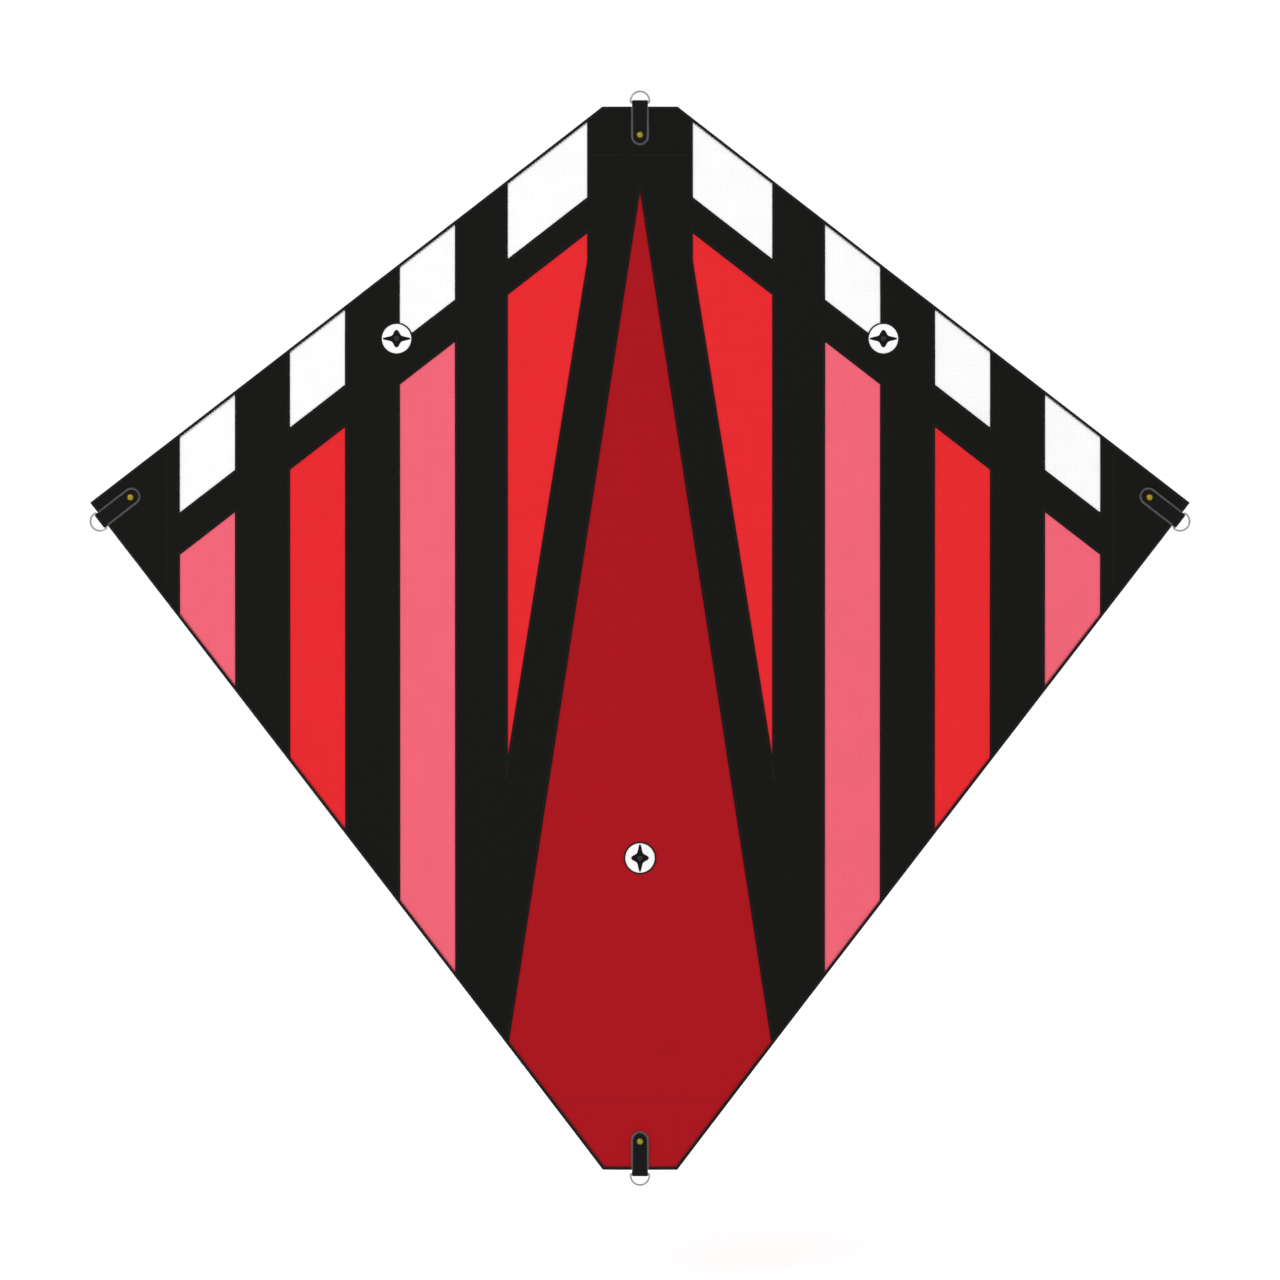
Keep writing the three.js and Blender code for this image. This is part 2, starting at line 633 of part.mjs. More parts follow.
function bridle() {
  const { point, tangent } = bowAt(BRIDLE_X);
  const slope = Math.atan2(tangent.z, tangent.x);
  const group = new THREE.Group();
  for (const { side, sign } of SIDES)
    group.add(
      bridlePoint(`${side}_upper`, sign * BRIDLE_X, point.z, 0, BOW_RADIUS, point.y, sign * slope),
    );
  const z = zAt(LOWER_BRIDLE_BELOW);
  const upright = Math.PI / 2;
  const backing = cut(disc(BACKING_RADIUS, GROUND, 0, z), drill(CORD_HOLE, 0, z));
  group.add(
    bridlePoint("lower", 0, z, upright, SPINE_RADIUS, SPINE_DEPTH, upright),
    piece("lower_patch_backing", backing, "black"),
  );
  return group;
}

// ---- Kite ------------------------------------------------------------------------------------------

const kite = new THREE.Group();
kite.position.y = -BACK;
kite.add(sail(), corners(), spine(), bow(), bridle());
kite.add(piece("cross_fitting", crossFitting(), "plastic"));

export default kite;
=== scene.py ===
"""The looks of a diamond kite: ripstop sail, webbing corners, glass-fibre spars, cord loops."""

import json
import math

import bmesh
import bpy
import numpy as np
from mathutils import Matrix, Vector
from mathutils.geometry import delaunay_2d_cdt


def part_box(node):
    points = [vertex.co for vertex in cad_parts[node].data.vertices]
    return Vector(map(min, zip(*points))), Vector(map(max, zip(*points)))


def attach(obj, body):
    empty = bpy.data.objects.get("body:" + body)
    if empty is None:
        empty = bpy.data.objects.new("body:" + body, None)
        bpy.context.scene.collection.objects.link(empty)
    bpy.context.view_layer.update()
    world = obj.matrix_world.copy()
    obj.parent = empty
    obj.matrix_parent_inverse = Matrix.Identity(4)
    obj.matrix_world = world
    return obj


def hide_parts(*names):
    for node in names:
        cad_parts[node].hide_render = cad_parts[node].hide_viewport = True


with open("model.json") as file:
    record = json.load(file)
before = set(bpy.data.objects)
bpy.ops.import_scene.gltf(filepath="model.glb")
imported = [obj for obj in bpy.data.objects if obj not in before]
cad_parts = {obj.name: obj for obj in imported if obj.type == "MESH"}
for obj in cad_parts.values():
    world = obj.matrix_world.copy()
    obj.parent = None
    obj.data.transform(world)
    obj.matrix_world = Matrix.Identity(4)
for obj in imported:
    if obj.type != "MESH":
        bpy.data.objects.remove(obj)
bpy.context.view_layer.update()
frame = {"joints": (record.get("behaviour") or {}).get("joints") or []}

MM = 0.001
BODY = "kite"

# ---- Places taken from the frame --------------------

# The part's frame: x across, z up the spine, y out of the back. "Depth" is a distance back from the
# front face of the sail. Lengths below are in metres.
sail_low, sail_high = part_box("ground_cloth")
FRONT_Y = sail_low.y
NOSE_Z, TAIL_Z = sail_high.z, sail_low.z
TIP_X = sail_high.x
LENGTH = NOSE_Z - TAIL_Z


def middle(node):
    low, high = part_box(node)
    return (low + high) / 2


def joint(name):
    return next(j for j in frame["joints"] if j["name"] == name)


# Driving dimensions that the design shares with the CAD source.
NOSE_HALF, TAIL_HALF = 35.5 * MM, 35 * MM
TIP_Z = NOSE_Z - 374 * MM
WINDOWS = (  # inner and outer edge, drop to the colour panel, colour
    (50 * MM, 125 * MM, 108 * MM, "red"),
    (175 * MM, 227 * MM, 114 * MM, "pink"),
    (279 * MM, 331 * MM, 114 * MM, "red"),
    (383 * MM, 435 * MM, 114 * MM, "pink"),
)
WHITE_DROP = 74 * MM
SLIVER = (145.5 * MM, 0.1605)  # start below the nose, sideways per unit down
SPEAR = (80 * MM, 0.1543)
BRIDLE_WINDOW = 1  # the place in that list of the window beside an upper bridle point
RIM = 2.2 * MM  # of ground cloth left between a window and the sail's edge
OVERLAP = 6 * MM  # of a panel behind the ground cloth
CLOTH = 0.4 * MM
GAP = 0.3 * MM
WEB_HALF = 7.5 * MM
WEB_THICK = 1 * MM
TAB_END = 8.8 * MM  # from the rivet to the tab's inner end
TAB_FRONT, TAB_BACK = -1.3 * MM, 3.8 * MM
SEAT = TAB_BACK + GAP
RING_DEPTH = (TAB_FRONT + TAB_BACK) / 2
SPINE_RADIUS, BOW_RADIUS = 2.5 * MM, 2 * MM
SPINE_DEPTH = middle("upper_spine_rod").y - FRONT_Y
BOW_TIP_DEPTH = SEAT + 3.1 * MM
BOW_DEPTH = middle("bow_ferrule").y - FRONT_Y
BOW_END_ANGLE = math.radians(35.9)
DISC_RADIUS = 13.8 * MM
BACKING_RADIUS = 15.3 * MM
CORD_HOLE, RIVET_HOLE = 1.9 * MM, 1.8 * MM  # radius

leading = math.atan2(NOSE_Z - TIP_Z, TIP_X - NOSE_HALF)
trailing = math.atan2(TIP_Z - TAIL_Z, TIP_X - TAIL_HALF)


def layer(n):
    """The front and back depth of the nth layer of cloth."""
    return n * (CLOTH + GAP), n * (CLOTH + GAP) + CLOTH


class Corner:
    """A corner's rivet, the direction of its tab, and the D-ring bar in the tab's fold."""

    def __init__(self, name):
        rivet = middle(f"{name}_rivet")
        bar = joint(f"{name}_ring_swing")["pos_m"]
        self.name = name
        self.x, self.z = rivet.x, rivet.z
        self.bar = math.hypot(bar[0] - rivet.x, bar[2] - rivet.z)
        self.angle = math.atan2(bar[2] - rivet.z, bar[0] - rivet.x)

    def local(self, x, z):
        """Places as distances from the rivet, outward along the tab and across it."""
        cos, sin = math.cos(self.angle), math.sin(self.angle)
        return (x - self.x) * cos + (z - self.z) * sin, -(x - self.x) * sin + (z - self.z) * cos


CORNERS = [Corner(name) for name in ("nose", "tail", "left_wing", "right_wing")]
BRIDLES = {
    name: (middle(f"{name}_bridle_patch").x, middle(f"{name}_bridle_patch").z)
    for name in ("left_upper", "right_upper", "lower")
}

# ---- Materials --------------------


def linear(*rgb):
    """A display colour, 0 to 255, as the linear values that shaders take."""
    parts = [c / 255 for c in rgb]
    return [c / 12.92 if c <= 0.04045 else ((c + 0.055) / 1.055) ** 2.4 for c in parts] + [1.0]


class Shader:
    """A material with a Principled shader, built up by small methods that add nodes."""

    def __init__(self, name, colour, roughness, metallic=0.0, specular=0.5, **sockets):
        self.material = bpy.data.materials.new(name)
        self.material.use_nodes = True
        self.tree = self.material.node_tree
        self.shader = self.tree.nodes["Principled BSDF"]
        self.colour = colour
        self.put("Base Color", colour)
        self.put("Roughness", roughness)
        self.put("Metallic", metallic)
        self.put("Specular IOR Level", specular)
        for socket, value in sockets.items():
            self.put(socket.replace("_", " "), value)
        self.coordinates = self.node("ShaderNodeTexCoord").outputs["Object"]
        self.normal = None

    def put(self, socket, value):
        self.shader.inputs[socket].default_value = value

    def node(self, kind, **settings):
        node = self.tree.nodes.new(kind)
        for key, value in settings.items():
            if key in node.inputs:
                node.inputs[key].default_value = value
            else:
                setattr(node, key.lower(), value)
        return node

    def link(self, a, b):
        self.tree.links.new(a, b)

    def noise(self, scale, detail=3, stretch=(1, 1, 1)):
        mapping = self.node("ShaderNodeMapping", Scale=stretch)
        noise = self.node("ShaderNodeTexNoise", Scale=scale, Detail=detail)
        self.link(self.coordinates, mapping.inputs["Vector"])
        self.link(mapping.outputs["Vector"], noise.inputs["Vector"])
        return noise.outputs["Fac"]

    def waves(self, axis, pitch, sharpness=1.0):
        """Ridges across an axis, one every pitch; a high sharpness makes them narrow."""
        separate = self.node("ShaderNodeSeparateXYZ")
        self.link(self.coordinates, separate.inputs[0])
        turn = self.math("MULTIPLY", separate.outputs[axis], 2 * math.pi / pitch)
        ridge = self.math("MULTIPLY_ADD", self.math("COSINE", turn), 0.5, 0.5)
        return ridge if sharpness == 1 else self.math("POWER", ridge, sharpness)

    def math(self, operation, a, b=None, c=None):
        node = self.node("ShaderNodeMath", operation=operation)
        for i, value in enumerate((a, b, c)):
            if value is None:
                continue
            if isinstance(value, (int, float)):
                node.inputs[i].default_value = value
            else:
                self.link(value, node.inputs[i])
        return node.outputs[0]

    def bump(self, height, distance, strength=1.0):
        node = self.node("ShaderNodeBump", Strength=strength, Distance=distance)
        self.link(height, node.inputs["Height"])
        if self.normal is not None:
            self.link(self.normal, node.inputs["Normal"])
        self.normal = node.outputs["Normal"]
        self.link(self.normal, self.shader.inputs["Normal"])

    def tint(self, factor, low, high):
        """Varies the base colour between two multiples of it."""
        mix = self.node("ShaderNodeMix", data_type="RGBA")
        for socket, share in (("A", low), ("B", high)):
            mix.inputs[socket].default_value = [min(1, c * share) for c in self.colour[:3]] + [1]
        self.link(factor, mix.inputs["Factor"])
        self.link(mix.outputs["Result"], self.shader.inputs["Base Color"])

    def roughen(self, factor, low, high):
        self.link(self.math("MULTIPLY_ADD", factor, high - low, low), self.shader.inputs["Roughness"])


def ripstop(name, colour, specular):
    """Nylon ripstop: a fine plain weave with a grid of doubled threads, and soft handling creases."""
    s = Shader(name, colour, 0.6, specular=specular, Sheen_Weight=0.012, Sheen_Roughness=0.35)
    grid = s.math("MAXIMUM", s.waves("X", 5 * MM, 30), s.waves("Z", 5 * MM, 30))
    weave = s.math("MULTIPLY", s.waves("X", 0.5 * MM), s.waves("Z", 0.5 * MM))
    mottle = s.noise(45, 4)
    s.tint(s.math("MULTIPLY_ADD", grid, 0.35, s.math("MULTIPLY", mottle, 0.65)), 0.93, 1.07)
    s.roughen(mottle, 0.5, 0.68)
    s.bump(weave, 0.03 * MM, 0.4)
    s.bump(grid, 0.06 * MM, 0.6)
    s.bump(s.noise(28, 2, (1, 1, 0.6)), 0.5 * MM, 0.35)
    return s.material


def webbing(name, colour):
    """Flat nylon webbing: rows of ribs across each other, a little fuzz and wear."""
    pitch = 1.1 * MM
    s = Shader(name, colour, 0.82, specular=0.1, Sheen_Weight=0.03, Sheen_Roughness=0.5)
    rows = s.math("MULTIPLY_ADD", s.waves("X", pitch * 0.55), 0.5, 0.5)
    ribs = s.math("MULTIPLY", s.waves("Z", pitch), rows)
    fuzz = s.noise(900, 4)
    s.tint(s.math("MULTIPLY_ADD", ribs, 0.6, s.math("MULTIPLY", fuzz, 0.4)), 0.7, 1.35)
    s.bump(ribs, 0.25 * MM, 0.8)
    s.bump(fuzz, 0.08 * MM, 0.4)
    return s.material


def binding(name, colour):
    """Bias-cut binding tape: a fine plain weave that lies across the tape."""
    s = Shader(name, colour, 0.7, specular=0.1, Sheen_Weight=0.04, Sheen_Roughness=0.4)
    weave = s.math("MULTIPLY", s.waves("X", 0.6 * MM), s.waves("Z", 0.6 * MM))
    fuzz = s.noise(600, 4)
    s.tint(s.math("MULTIPLY_ADD", weave, 0.5, s.math("MULTIPLY", fuzz, 0.5)), 0.75, 1.3)
    s.roughen(fuzz, 0.6, 0.85)
    s.bump(weave, 0.08 * MM, 0.6)
    return s.material


def cord_look(name, colour):
    s = Shader(name, colour, 0.75, specular=0.2, Sheen_Weight=0.1)
    strands = s.node("ShaderNodeTexVoronoi", Scale=1400.0)
    s.link(s.coordinates, strands.inputs["Vector"])
    s.tint(strands.outputs["Distance"], 0.7, 1.5)
    s.bump(strands.outputs["Distance"], 0.15 * MM, 0.7)
    return s.material


def metal(name, colour, roughness, stretch=(1, 1, 1), tarnish=0.85):
    s = Shader(name, colour, roughness, metallic=1.0)
    s.roughen(s.noise(350, 5, stretch), roughness * 0.7, roughness * 1.5)
    s.tint(s.noise(120, 4), tarnish, 1.04)
    s.bump(s.noise(700, 4, stretch), 0.02 * MM, 0.25)
    return s.material


def rod_look(name, colour, stretch):
    """Pultruded glass-fibre rod: glossy, with faint streaks along it."""
    s = Shader(name, colour, 0.32, specular=0.3, Coat_Weight=0.12, Coat_Roughness=0.2)
    streaks = s.noise(60, 5, stretch)
    s.tint(streaks, 0.7, 1.6)
    s.roughen(streaks, 0.22, 0.42)
    s.bump(streaks, 0.03 * MM, 0.3)
    return s.material


def moulded(name, colour):
    s = Shader(name, colour, 0.5, specular=0.35)
    grain = s.noise(1600, 4)
    s.tint(s.noise(90, 3), 0.85, 1.2)
    s.roughen(grain, 0.42, 0.62)
    s.bump(grain, 0.05 * MM, 0.5)
    return s.material


ALONG_X, ALONG_Z = (0.05, 1, 1), (1, 1, 0.05)  # which way a drawn tube's scratches run
LOOK = {  # material, slot
    "black": (ripstop("black_ripstop_look", linear(18, 18, 16), 0.05), "black_ripstop"),
    "white": (ripstop("white_ripstop_look", linear(240, 240, 240), 0.06), "white_ripstop"),
    "red": (ripstop("red_ripstop_look", linear(220, 38, 43), 0.06), "red_ripstop"),
    "pink": (ripstop("pink_ripstop_look", linear(229, 96, 114), 0.06), "pink_ripstop"),
    "crimson": (ripstop("crimson_ripstop_look", linear(162, 15, 25), 0.06), "crimson_ripstop"),
    "webbing": (webbing("webbing_look", linear(17, 17, 17)), "webbing"),
    "tape": (binding("hem_tape_look", linear(17, 17, 17)), "webbing"),
    "cord": (cord_look("bridle_cord_look", linear(36, 36, 40)), "bridle_cord"),
    "black_thread": (cord_look("black_thread_look", linear(34, 34, 32)), "webbing"),
    "grey_thread": (cord_look("grey_thread_look", linear(92, 91, 92)), "webbing"),
    "white_thread": (cord_look("white_thread_look", linear(226, 226, 226)), "white_ripstop"),
    "crimson_thread": (cord_look("crimson_thread_look", linear(150, 18, 27)), "crimson_ripstop"),
    "steel": (metal("ring_steel_look", linear(158, 160, 164), 0.22, tarnish=0.9), "ring_steel"),
    "brass": (metal("brass_rivet_look", linear(160, 143, 46), 0.3, tarnish=0.75), "brass_rivet"),
    "aluminium": (metal("spine_sleeve_look", linear(190, 193, 197), 0.32, ALONG_Z), "ferrule_metal"),
    "bow_aluminium": (metal("bow_sleeve_look", linear(190, 193, 197), 0.32, ALONG_X), "ferrule_metal"),
    "rod": (rod_look("spine_rod_look", linear(19, 19, 21), (14, 14, 1)), "glass_fibre_rod"),
    "bow_rod": (rod_look("bow_rod_look", linear(19, 19, 21), (1, 14, 14)), "glass_fibre_rod"),
    "plastic": (moulded("moulded_black_look", linear(24, 24, 26)), "moulded_black"),
}

# ---- Making pieces --------------------


def around(loop):
    """Each item of a closed loop with the next one."""
    return zip(loop, [*loop[1:], loop[0]])


def plain_object(name, points, faces):
    """A mesh object in the scene that has no look yet."""
    mesh = bpy.data.meshes.new(name)
    mesh.from_pydata([tuple(map(float, p)) for p in points], [], faces)
    piece = bpy.data.objects.new(name, mesh)
    bpy.context.scene.collection.objects.link(piece)
    return piece


def make(name, shape, look, node=None, body=BODY, at=None, sharp=None):
    """A piece of the kite from points and faces; edges sharper than sharp, in degrees, stay crisp."""
    piece = plain_object(name, *shape)
    piece.data.validate()
    work = bmesh.new()
    work.from_mesh(piece.data)
    bmesh.ops.remove_doubles(work, verts=work.verts, dist=1e-7)
    bmesh.ops.recalc_face_normals(work, faces=work.faces)
    work.to_mesh(piece.data)
    work.free()
    piece.data.polygons.foreach_set("use_smooth", [True] * len(piece.data.polygons))
    if sharp:
        soften_edges(piece, sharp)
    if at is not None:
        piece.matrix_world = at
    material, slot = LOOK[look]
    piece.data.materials.append(material)
    if node:
        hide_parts(node)
    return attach(piece, body)


def soften_edges(piece, degrees):
    """Shades a piece smoothly except across its sharp edges, without a modifier."""
    work = bmesh.new()
    work.from_mesh(piece.data)
    for edge in work.edges:
        edge.smooth = len(edge.link_faces) == 2 and edge.calc_face_angle(0) < math.radians(degrees)
    work.to_mesh(piece.data)
    work.free()


class Billow:
    """How far back the sail stands from the flat, by a cloth simulation: nothing at its hardware."""

    STEP = 14 * MM  # of the grid of heights
    MOST = 6.5 * MM
    FRAMES = 45  # of the simulation
    CALM = 45 * MM  # how far out from the hardware the cloth is held back

    def __init__(self):
        self.low = np.array([-TIP_X - 3 * self.STEP, TAIL_Z - 3 * self.STEP])
        self.size = [math.ceil(s) + 7 for s in (2 * TIP_X / self.STEP, LENGTH / self.STEP)]
        self.heights = np.zeros(self.size)

    def settle(self):
        """Lets a sheet of light cloth, held where the sail is held, lean back in a faint breeze."""
        verts, faces = triangulate(sail_outline(0), [], self.STEP)
        study = plain_object("sail_study", [(x, 0, z) for x, z in verts], faces)
        held = study.vertex_groups.new(name="held")
        x, z = verts.T
        on_spine = np.abs(x) < self.STEP / 2
        for i in np.nonzero((self.calm(x, z) < 0.02) | on_spine)[0]:
            held.add([int(i)], 1.0, "REPLACE")
        cloth_settings = study.modifiers.new("cloth", "CLOTH").settings
        cloth_settings.vertex_group_mass = "held"
        cloth_settings.quality = 6
        cloth_settings.mass = 0.05
        cloth_settings.tension_stiffness = cloth_settings.compression_stiffness = 30
        cloth_settings.shear_stiffness = 12
        cloth_settings.bending_stiffness = 0.4
        cloth_settings.shrink_min = -0.0008
        scene = bpy.context.scene
        gravity = scene.gravity.copy()
        scene.gravity = (0, 0.7, -0.35)
        for number in range(1, self.FRAMES + 1):
            scene.frame_set(number)
        shape = study.evaluated_get(bpy.context.evaluated_depsgraph_get()).data
        back = np.array([v.co.y for v in shape.vertices])
        bpy.data.objects.remove(study)
        scene.frame_set(1)
        scene.gravity = gravity
        self.take(verts, back)

    def take(self, verts, back):
        """Carries the settled heights over to the grid, and smooths them."""
        columns = [self.low[k] + self.STEP * np.arange(self.size[k]) for k in (0, 1)]
        nodes = np.stack(np.meshgrid(*columns, indexing="ij"), axis=-1).reshape(-1, 2)
        heights = np.zeros(len(nodes))
        for i in range(0, len(nodes), 500):
            distance = np.linalg.norm(nodes[i : i + 500, None] - verts[None], axis=2)
            nearest = np.argpartition(distance, 4, axis=1)[:, :4]
            weight = 1 / (np.take_along_axis(distance, nearest, axis=1) + 0.5 * MM) ** 3
            heights[i : i + 500] = (weight * back[nearest]).sum(1) / weight.sum(1)
        self.heights = heights.reshape(self.size) * (self.MOST / back.max())

    def sample(self, x, z):
        """The grid's heights, joined by a smooth cubic surface."""
        place = [(np.asarray(v) - low) / self.STEP for v, low in zip((x, z), self.low)]
        cell = [np.clip(np.floor(p).astype(int), 1, n - 3) for p, n in zip(place, self.size)]
        across, up = [cubic_weights(np.clip(p - c, 0, 1)) for p, c in zip(place, cell)]
        total = np.zeros(np.shape(place[0]))
        for i in range(4):
            for j in range(4):
                total += across[i] * up[j] * self.heights[cell[0] + i - 1, cell[1] + j - 1]
        return total

    def calm(self, x, z):
        """0 at tabs and bridle points, rising to 1 away from them."""
        free = np.ones_like(x)
        for corner in CORNERS:
            along, across = corner.local(x, z)
            past = np.maximum(np.maximum(-TAB_END - along, along - corner.bar), 0)
            distance = np.hypot(past, np.maximum(np.abs(across) - WEB_HALF, 0))
            free *= smoothstep(distance, 3 * MM, self.CALM)
        for bridle_x, bridle_z in BRIDLES.values():
            distance = np.hypot(x - bridle_x, z - bridle_z)
            free *= smoothstep(distance, BACKING_RADIUS, self.CALM)
        return free

    def __call__(self, x, z):
        """The height at a place, kept within the room in front of the spars."""
        side = np.abs(x)
        room = np.minimum(2.3 * MM + 0.09 * side, 1.6 * self.MOST * (1 - 0.7 * (side / TIP_X) ** 4))
        height = self.sample(x, z)
        return room * np.tanh(height / room) * self.calm(x, z)


def cubic_weights(t):
    """How much each of four heights in a row counts, at t between the two in the middle."""
    return (
        (1 - t) ** 3 / 6,
        (3 * t**3 - 6 * t**2 + 4) / 6,
        (-3 * t**3 + 3 * t**2 + 3 * t + 1) / 6,
        t**3 / 6,
    )


def smoothstep(value, low, high):
    """0 up to low, 1 from high on, and a smooth rise between them."""
    t = np.clip((value - low) / (high - low), 0, 1)
    return t * t * (3 - 2 * t)


billow = Billow()


def hang(points):
    """Places points given as x, depth, z on the sail's own curved surface."""
    p = np.array(points, float).reshape(-1, 3)
    return np.stack([p[:, 0], FRONT_Y + p[:, 1] + billow(p[:, 0], p[:, 2]), p[:, 2]], axis=1)


# ---- Outlines --------------------


def clip(outline, normal, limit):
    """The part of a convex outline on the inner side of a line."""
    kept = []
    for p, q in around(outline):
        a, b = limit - np.dot(normal, p), limit - np.dot(normal, q)
        if a >= 0:
            kept.append(p)
        if a * b < 0:
            kept.append(p + (q - p) * (a / (a - b)))
    return kept


def mirror_x(normal):
    return np.array([-normal[0], normal[1]])


LEADING_NORMAL = np.array([math.sin(leading), math.cos(leading)])
TRAILING_NORMAL = np.array([math.sin(trailing), -math.cos(trailing)])
TIP = np.array([TIP_X, TIP_Z])


def sail_outline(inset):
    """The sail's outline, or a line this far inside it."""
    top, bottom, wide = NOSE_Z - inset, TAIL_Z + inset, 2 * TIP_X
    outline = [np.array(p) for p in ((-wide, bottom), (wide, bottom), (wide, top), (-wide, top))]
    for normal in (LEADING_NORMAL, TRAILING_NORMAL):
        limit = np.dot(normal, TIP) - inset
        outline = clip(clip(outline, normal, limit), mirror_x(normal), limit)
    return outline


def edge_distance(x, z):
    """How far inside the sail's edge a place lies."""
    slanted = [
        np.dot(normal, TIP) - normal[0] * np.abs(x) - normal[1] * z
        for normal in (LEADING_NORMAL, TRAILING_NORMAL)
    ]
    return np.min([NOSE_Z - z, z - TAIL_Z, *slanted], axis=0)


def strip(window, margin, inset):
    """The sail between a window's inner and outer edge, margin wider on both sides."""
    outline = clip(sail_outline(inset), np.array([-1.0, 0]), margin - window[0])
    return clip(outline, np.array([1.0, 0]), window[1] + margin)


def white_outline(window, margin, inset):
    """The white panel of a window, up to the leading edge."""
    lower = np.dot(LEADING_NORMAL, TIP) - WHITE_DROP * math.cos(leading)
    return clip(strip(window, margin, inset), -LEADING_NORMAL, margin - lower)


def colour_outline(window, margin, inset):
    """The coloured panel of a window, down to the trailing edge; the innermost one is tapered."""
    upper = np.dot(LEADING_NORMAL, TIP) - window[2] * math.cos(leading)
    outline = clip(strip(window, margin, inset), LEADING_NORMAL, upper + margin)
    if window is not WINDOWS[0]:
        return outline
    taper = np.array([-1.0, -SLIVER[1]]) / math.hypot(1, SLIVER[1])
    start = np.array([window[0], NOSE_Z - SLIVER[0]])
    return clip(outline, taper, np.dot(taper, start) + margin)


def spear_outline(margin, inset):
    """The long panel that widens from a point on the spine down to the tail."""
    side = np.array([1.0, SPEAR[1]]) / math.hypot(1, SPEAR[1])
    limit = np.dot(side, np.array([0, NOSE_Z - SPEAR[0]])) + margin
    return clip(clip(sail_outline(inset), side, limit), mirror_x(side), limit)


def on_side(outline, sign):
    return outline if sign > 0 else [np.array([-p[0], p[1]]) for p in reversed(outline)]


def ring_of(x, z, radius, count):
    turns = [2 * math.pi * i / count for i in range(count)]
    return [np.array([x + radius * math.cos(a), z + radius * math.sin(a)]) for a in turns]


def rivet_hole(corner):
    return ring_of(corner.x, corner.z, RIVET_HOLE, 24)


def cord_hole(bridle):
    return ring_of(*BRIDLES[bridle], CORD_HOLE, 28)


def resample(outline, step):
    """The outline with extra points, so that none of its edges is longer than step."""
    found = []
    for p, q in around(outline):
        parts = max(1, math.ceil(np.linalg.norm(q - p) / step))
        found += [p + (q - p) * (k / parts) for k in range(parts)]
    return found


def inside(points, loop):
    """Which points lie inside a closed loop."""
    p, odd = np.asarray(points), np.zeros(len(points), bool)
    for (ax, az), (bx, bz) in around(loop):
        crosses = (az > p[:, 1]) != (bz > p[:, 1])
        with np.errstate(divide="ignore", invalid="ignore"):
            at = (bx - ax) * (p[:, 1] - az) / (bz - az) + ax
        odd ^= crosses & (p[:, 0] < at)
    return odd


def between(points, outline, holes):
    """Which points lie inside an outline and outside its holes."""
    keep = inside(points, outline)
    for hole in holes:
        keep &= ~inside(points, hole)
    return keep


def area_of(outline):
    p = np.array(outline)
    q = np.roll(p, -1, axis=0)
    return abs(float((p[:, 0] * q[:, 1] - q[:, 0] * p[:, 1]).sum())) / 2


def perimeter(outline):
    p = np.array(outline)
    return float(np.linalg.norm(p - np.roll(p, -1, axis=0), axis=1).sum())


# ---- Cloth --------------------


def triangulate(outline, holes, step):
    """Fills an outline round its holes with triangles about step wide."""
    loops = [resample(loop, step) for loop in (outline, *holes)]
    edge_points = np.array([p for loop in loops for p in loop])
    edges, start = [], 0
    for loop in loops:
        edges += around(range(start, start + len(loop)))
        start += len(loop)
    low, high = edge_points.min(0), edge_points.max(0)
    grid = [
        (x + (step / 2 if row % 2 else 0), z)
        for row, z in enumerate(np.arange(low[1], high[1], step * math.sqrt(3) / 2))
        for x in np.arange(low[0], high[0], step)
    ]
    grid = np.array(grid)
    grid = grid[between(grid, loops[0], loops[1:])]
    near = np.full(len(grid), np.inf)
    for i in range(0, len(edge_points), 200):
        gaps = np.linalg.norm(grid[:, None] - edge_points[None, i : i + 200], axis=2)
        near = np.minimum(near, gaps.min(1))
    points = [tuple(p) for p in np.concatenate([edge_points, grid[near > 0.55 * step]])]
    verts, _, faces, *_ = delaunay_2d_cdt(points, edges, [], 0, 1e-7)
    verts = np.array([tuple(v) for v in verts])
    least = 1e-4 * step * step
    faces = [f for f in faces if abs(np.cross(*(verts[[f[1], f[2]]] - verts[f[0]]))) > least]
    centres = np.array([verts[list(f)].mean(0) for f in faces])
    keep = between(centres, loops[0], loops[1:])
    return verts, [tuple(f) for f, kept in zip(faces, keep) if kept]


def thicken(verts, faces, front, back):
    """A closed sheet from a flat triangulation: a front, a back, and the cut edge between them."""
    n = len(verts)
    points = [(x, front, z) for x, z in verts] + [(x, back, z) for x, z in verts]
    rim = {}
    for face in faces:
        for a, b in around(face):
            if not rim.pop((b, a), False):
                rim[(a, b)] = True
    solid = list(faces) + [tuple(n + i for i in reversed(f)) for f in faces]
    solid += [(b, a, n + a, n + b) for a, b in rim]
    return points, solid


def cloth(name, outline, depths, look, node, holes=(), step=7 * MM, area=None, raised=None):
    """A sheet of cloth on the sail. Its argument area, the size that it is cut to, is not used."""
    points, faces = thicken(*triangulate(outline, holes, step), *depths)
    points = np.array(points)
    if raised:
        points[:, 1] += raised(points[:, 0], points[:, 2])
    piece = make(name, (hang(points), faces), look, node, sharp=50)


# ---- Stitching --------------------


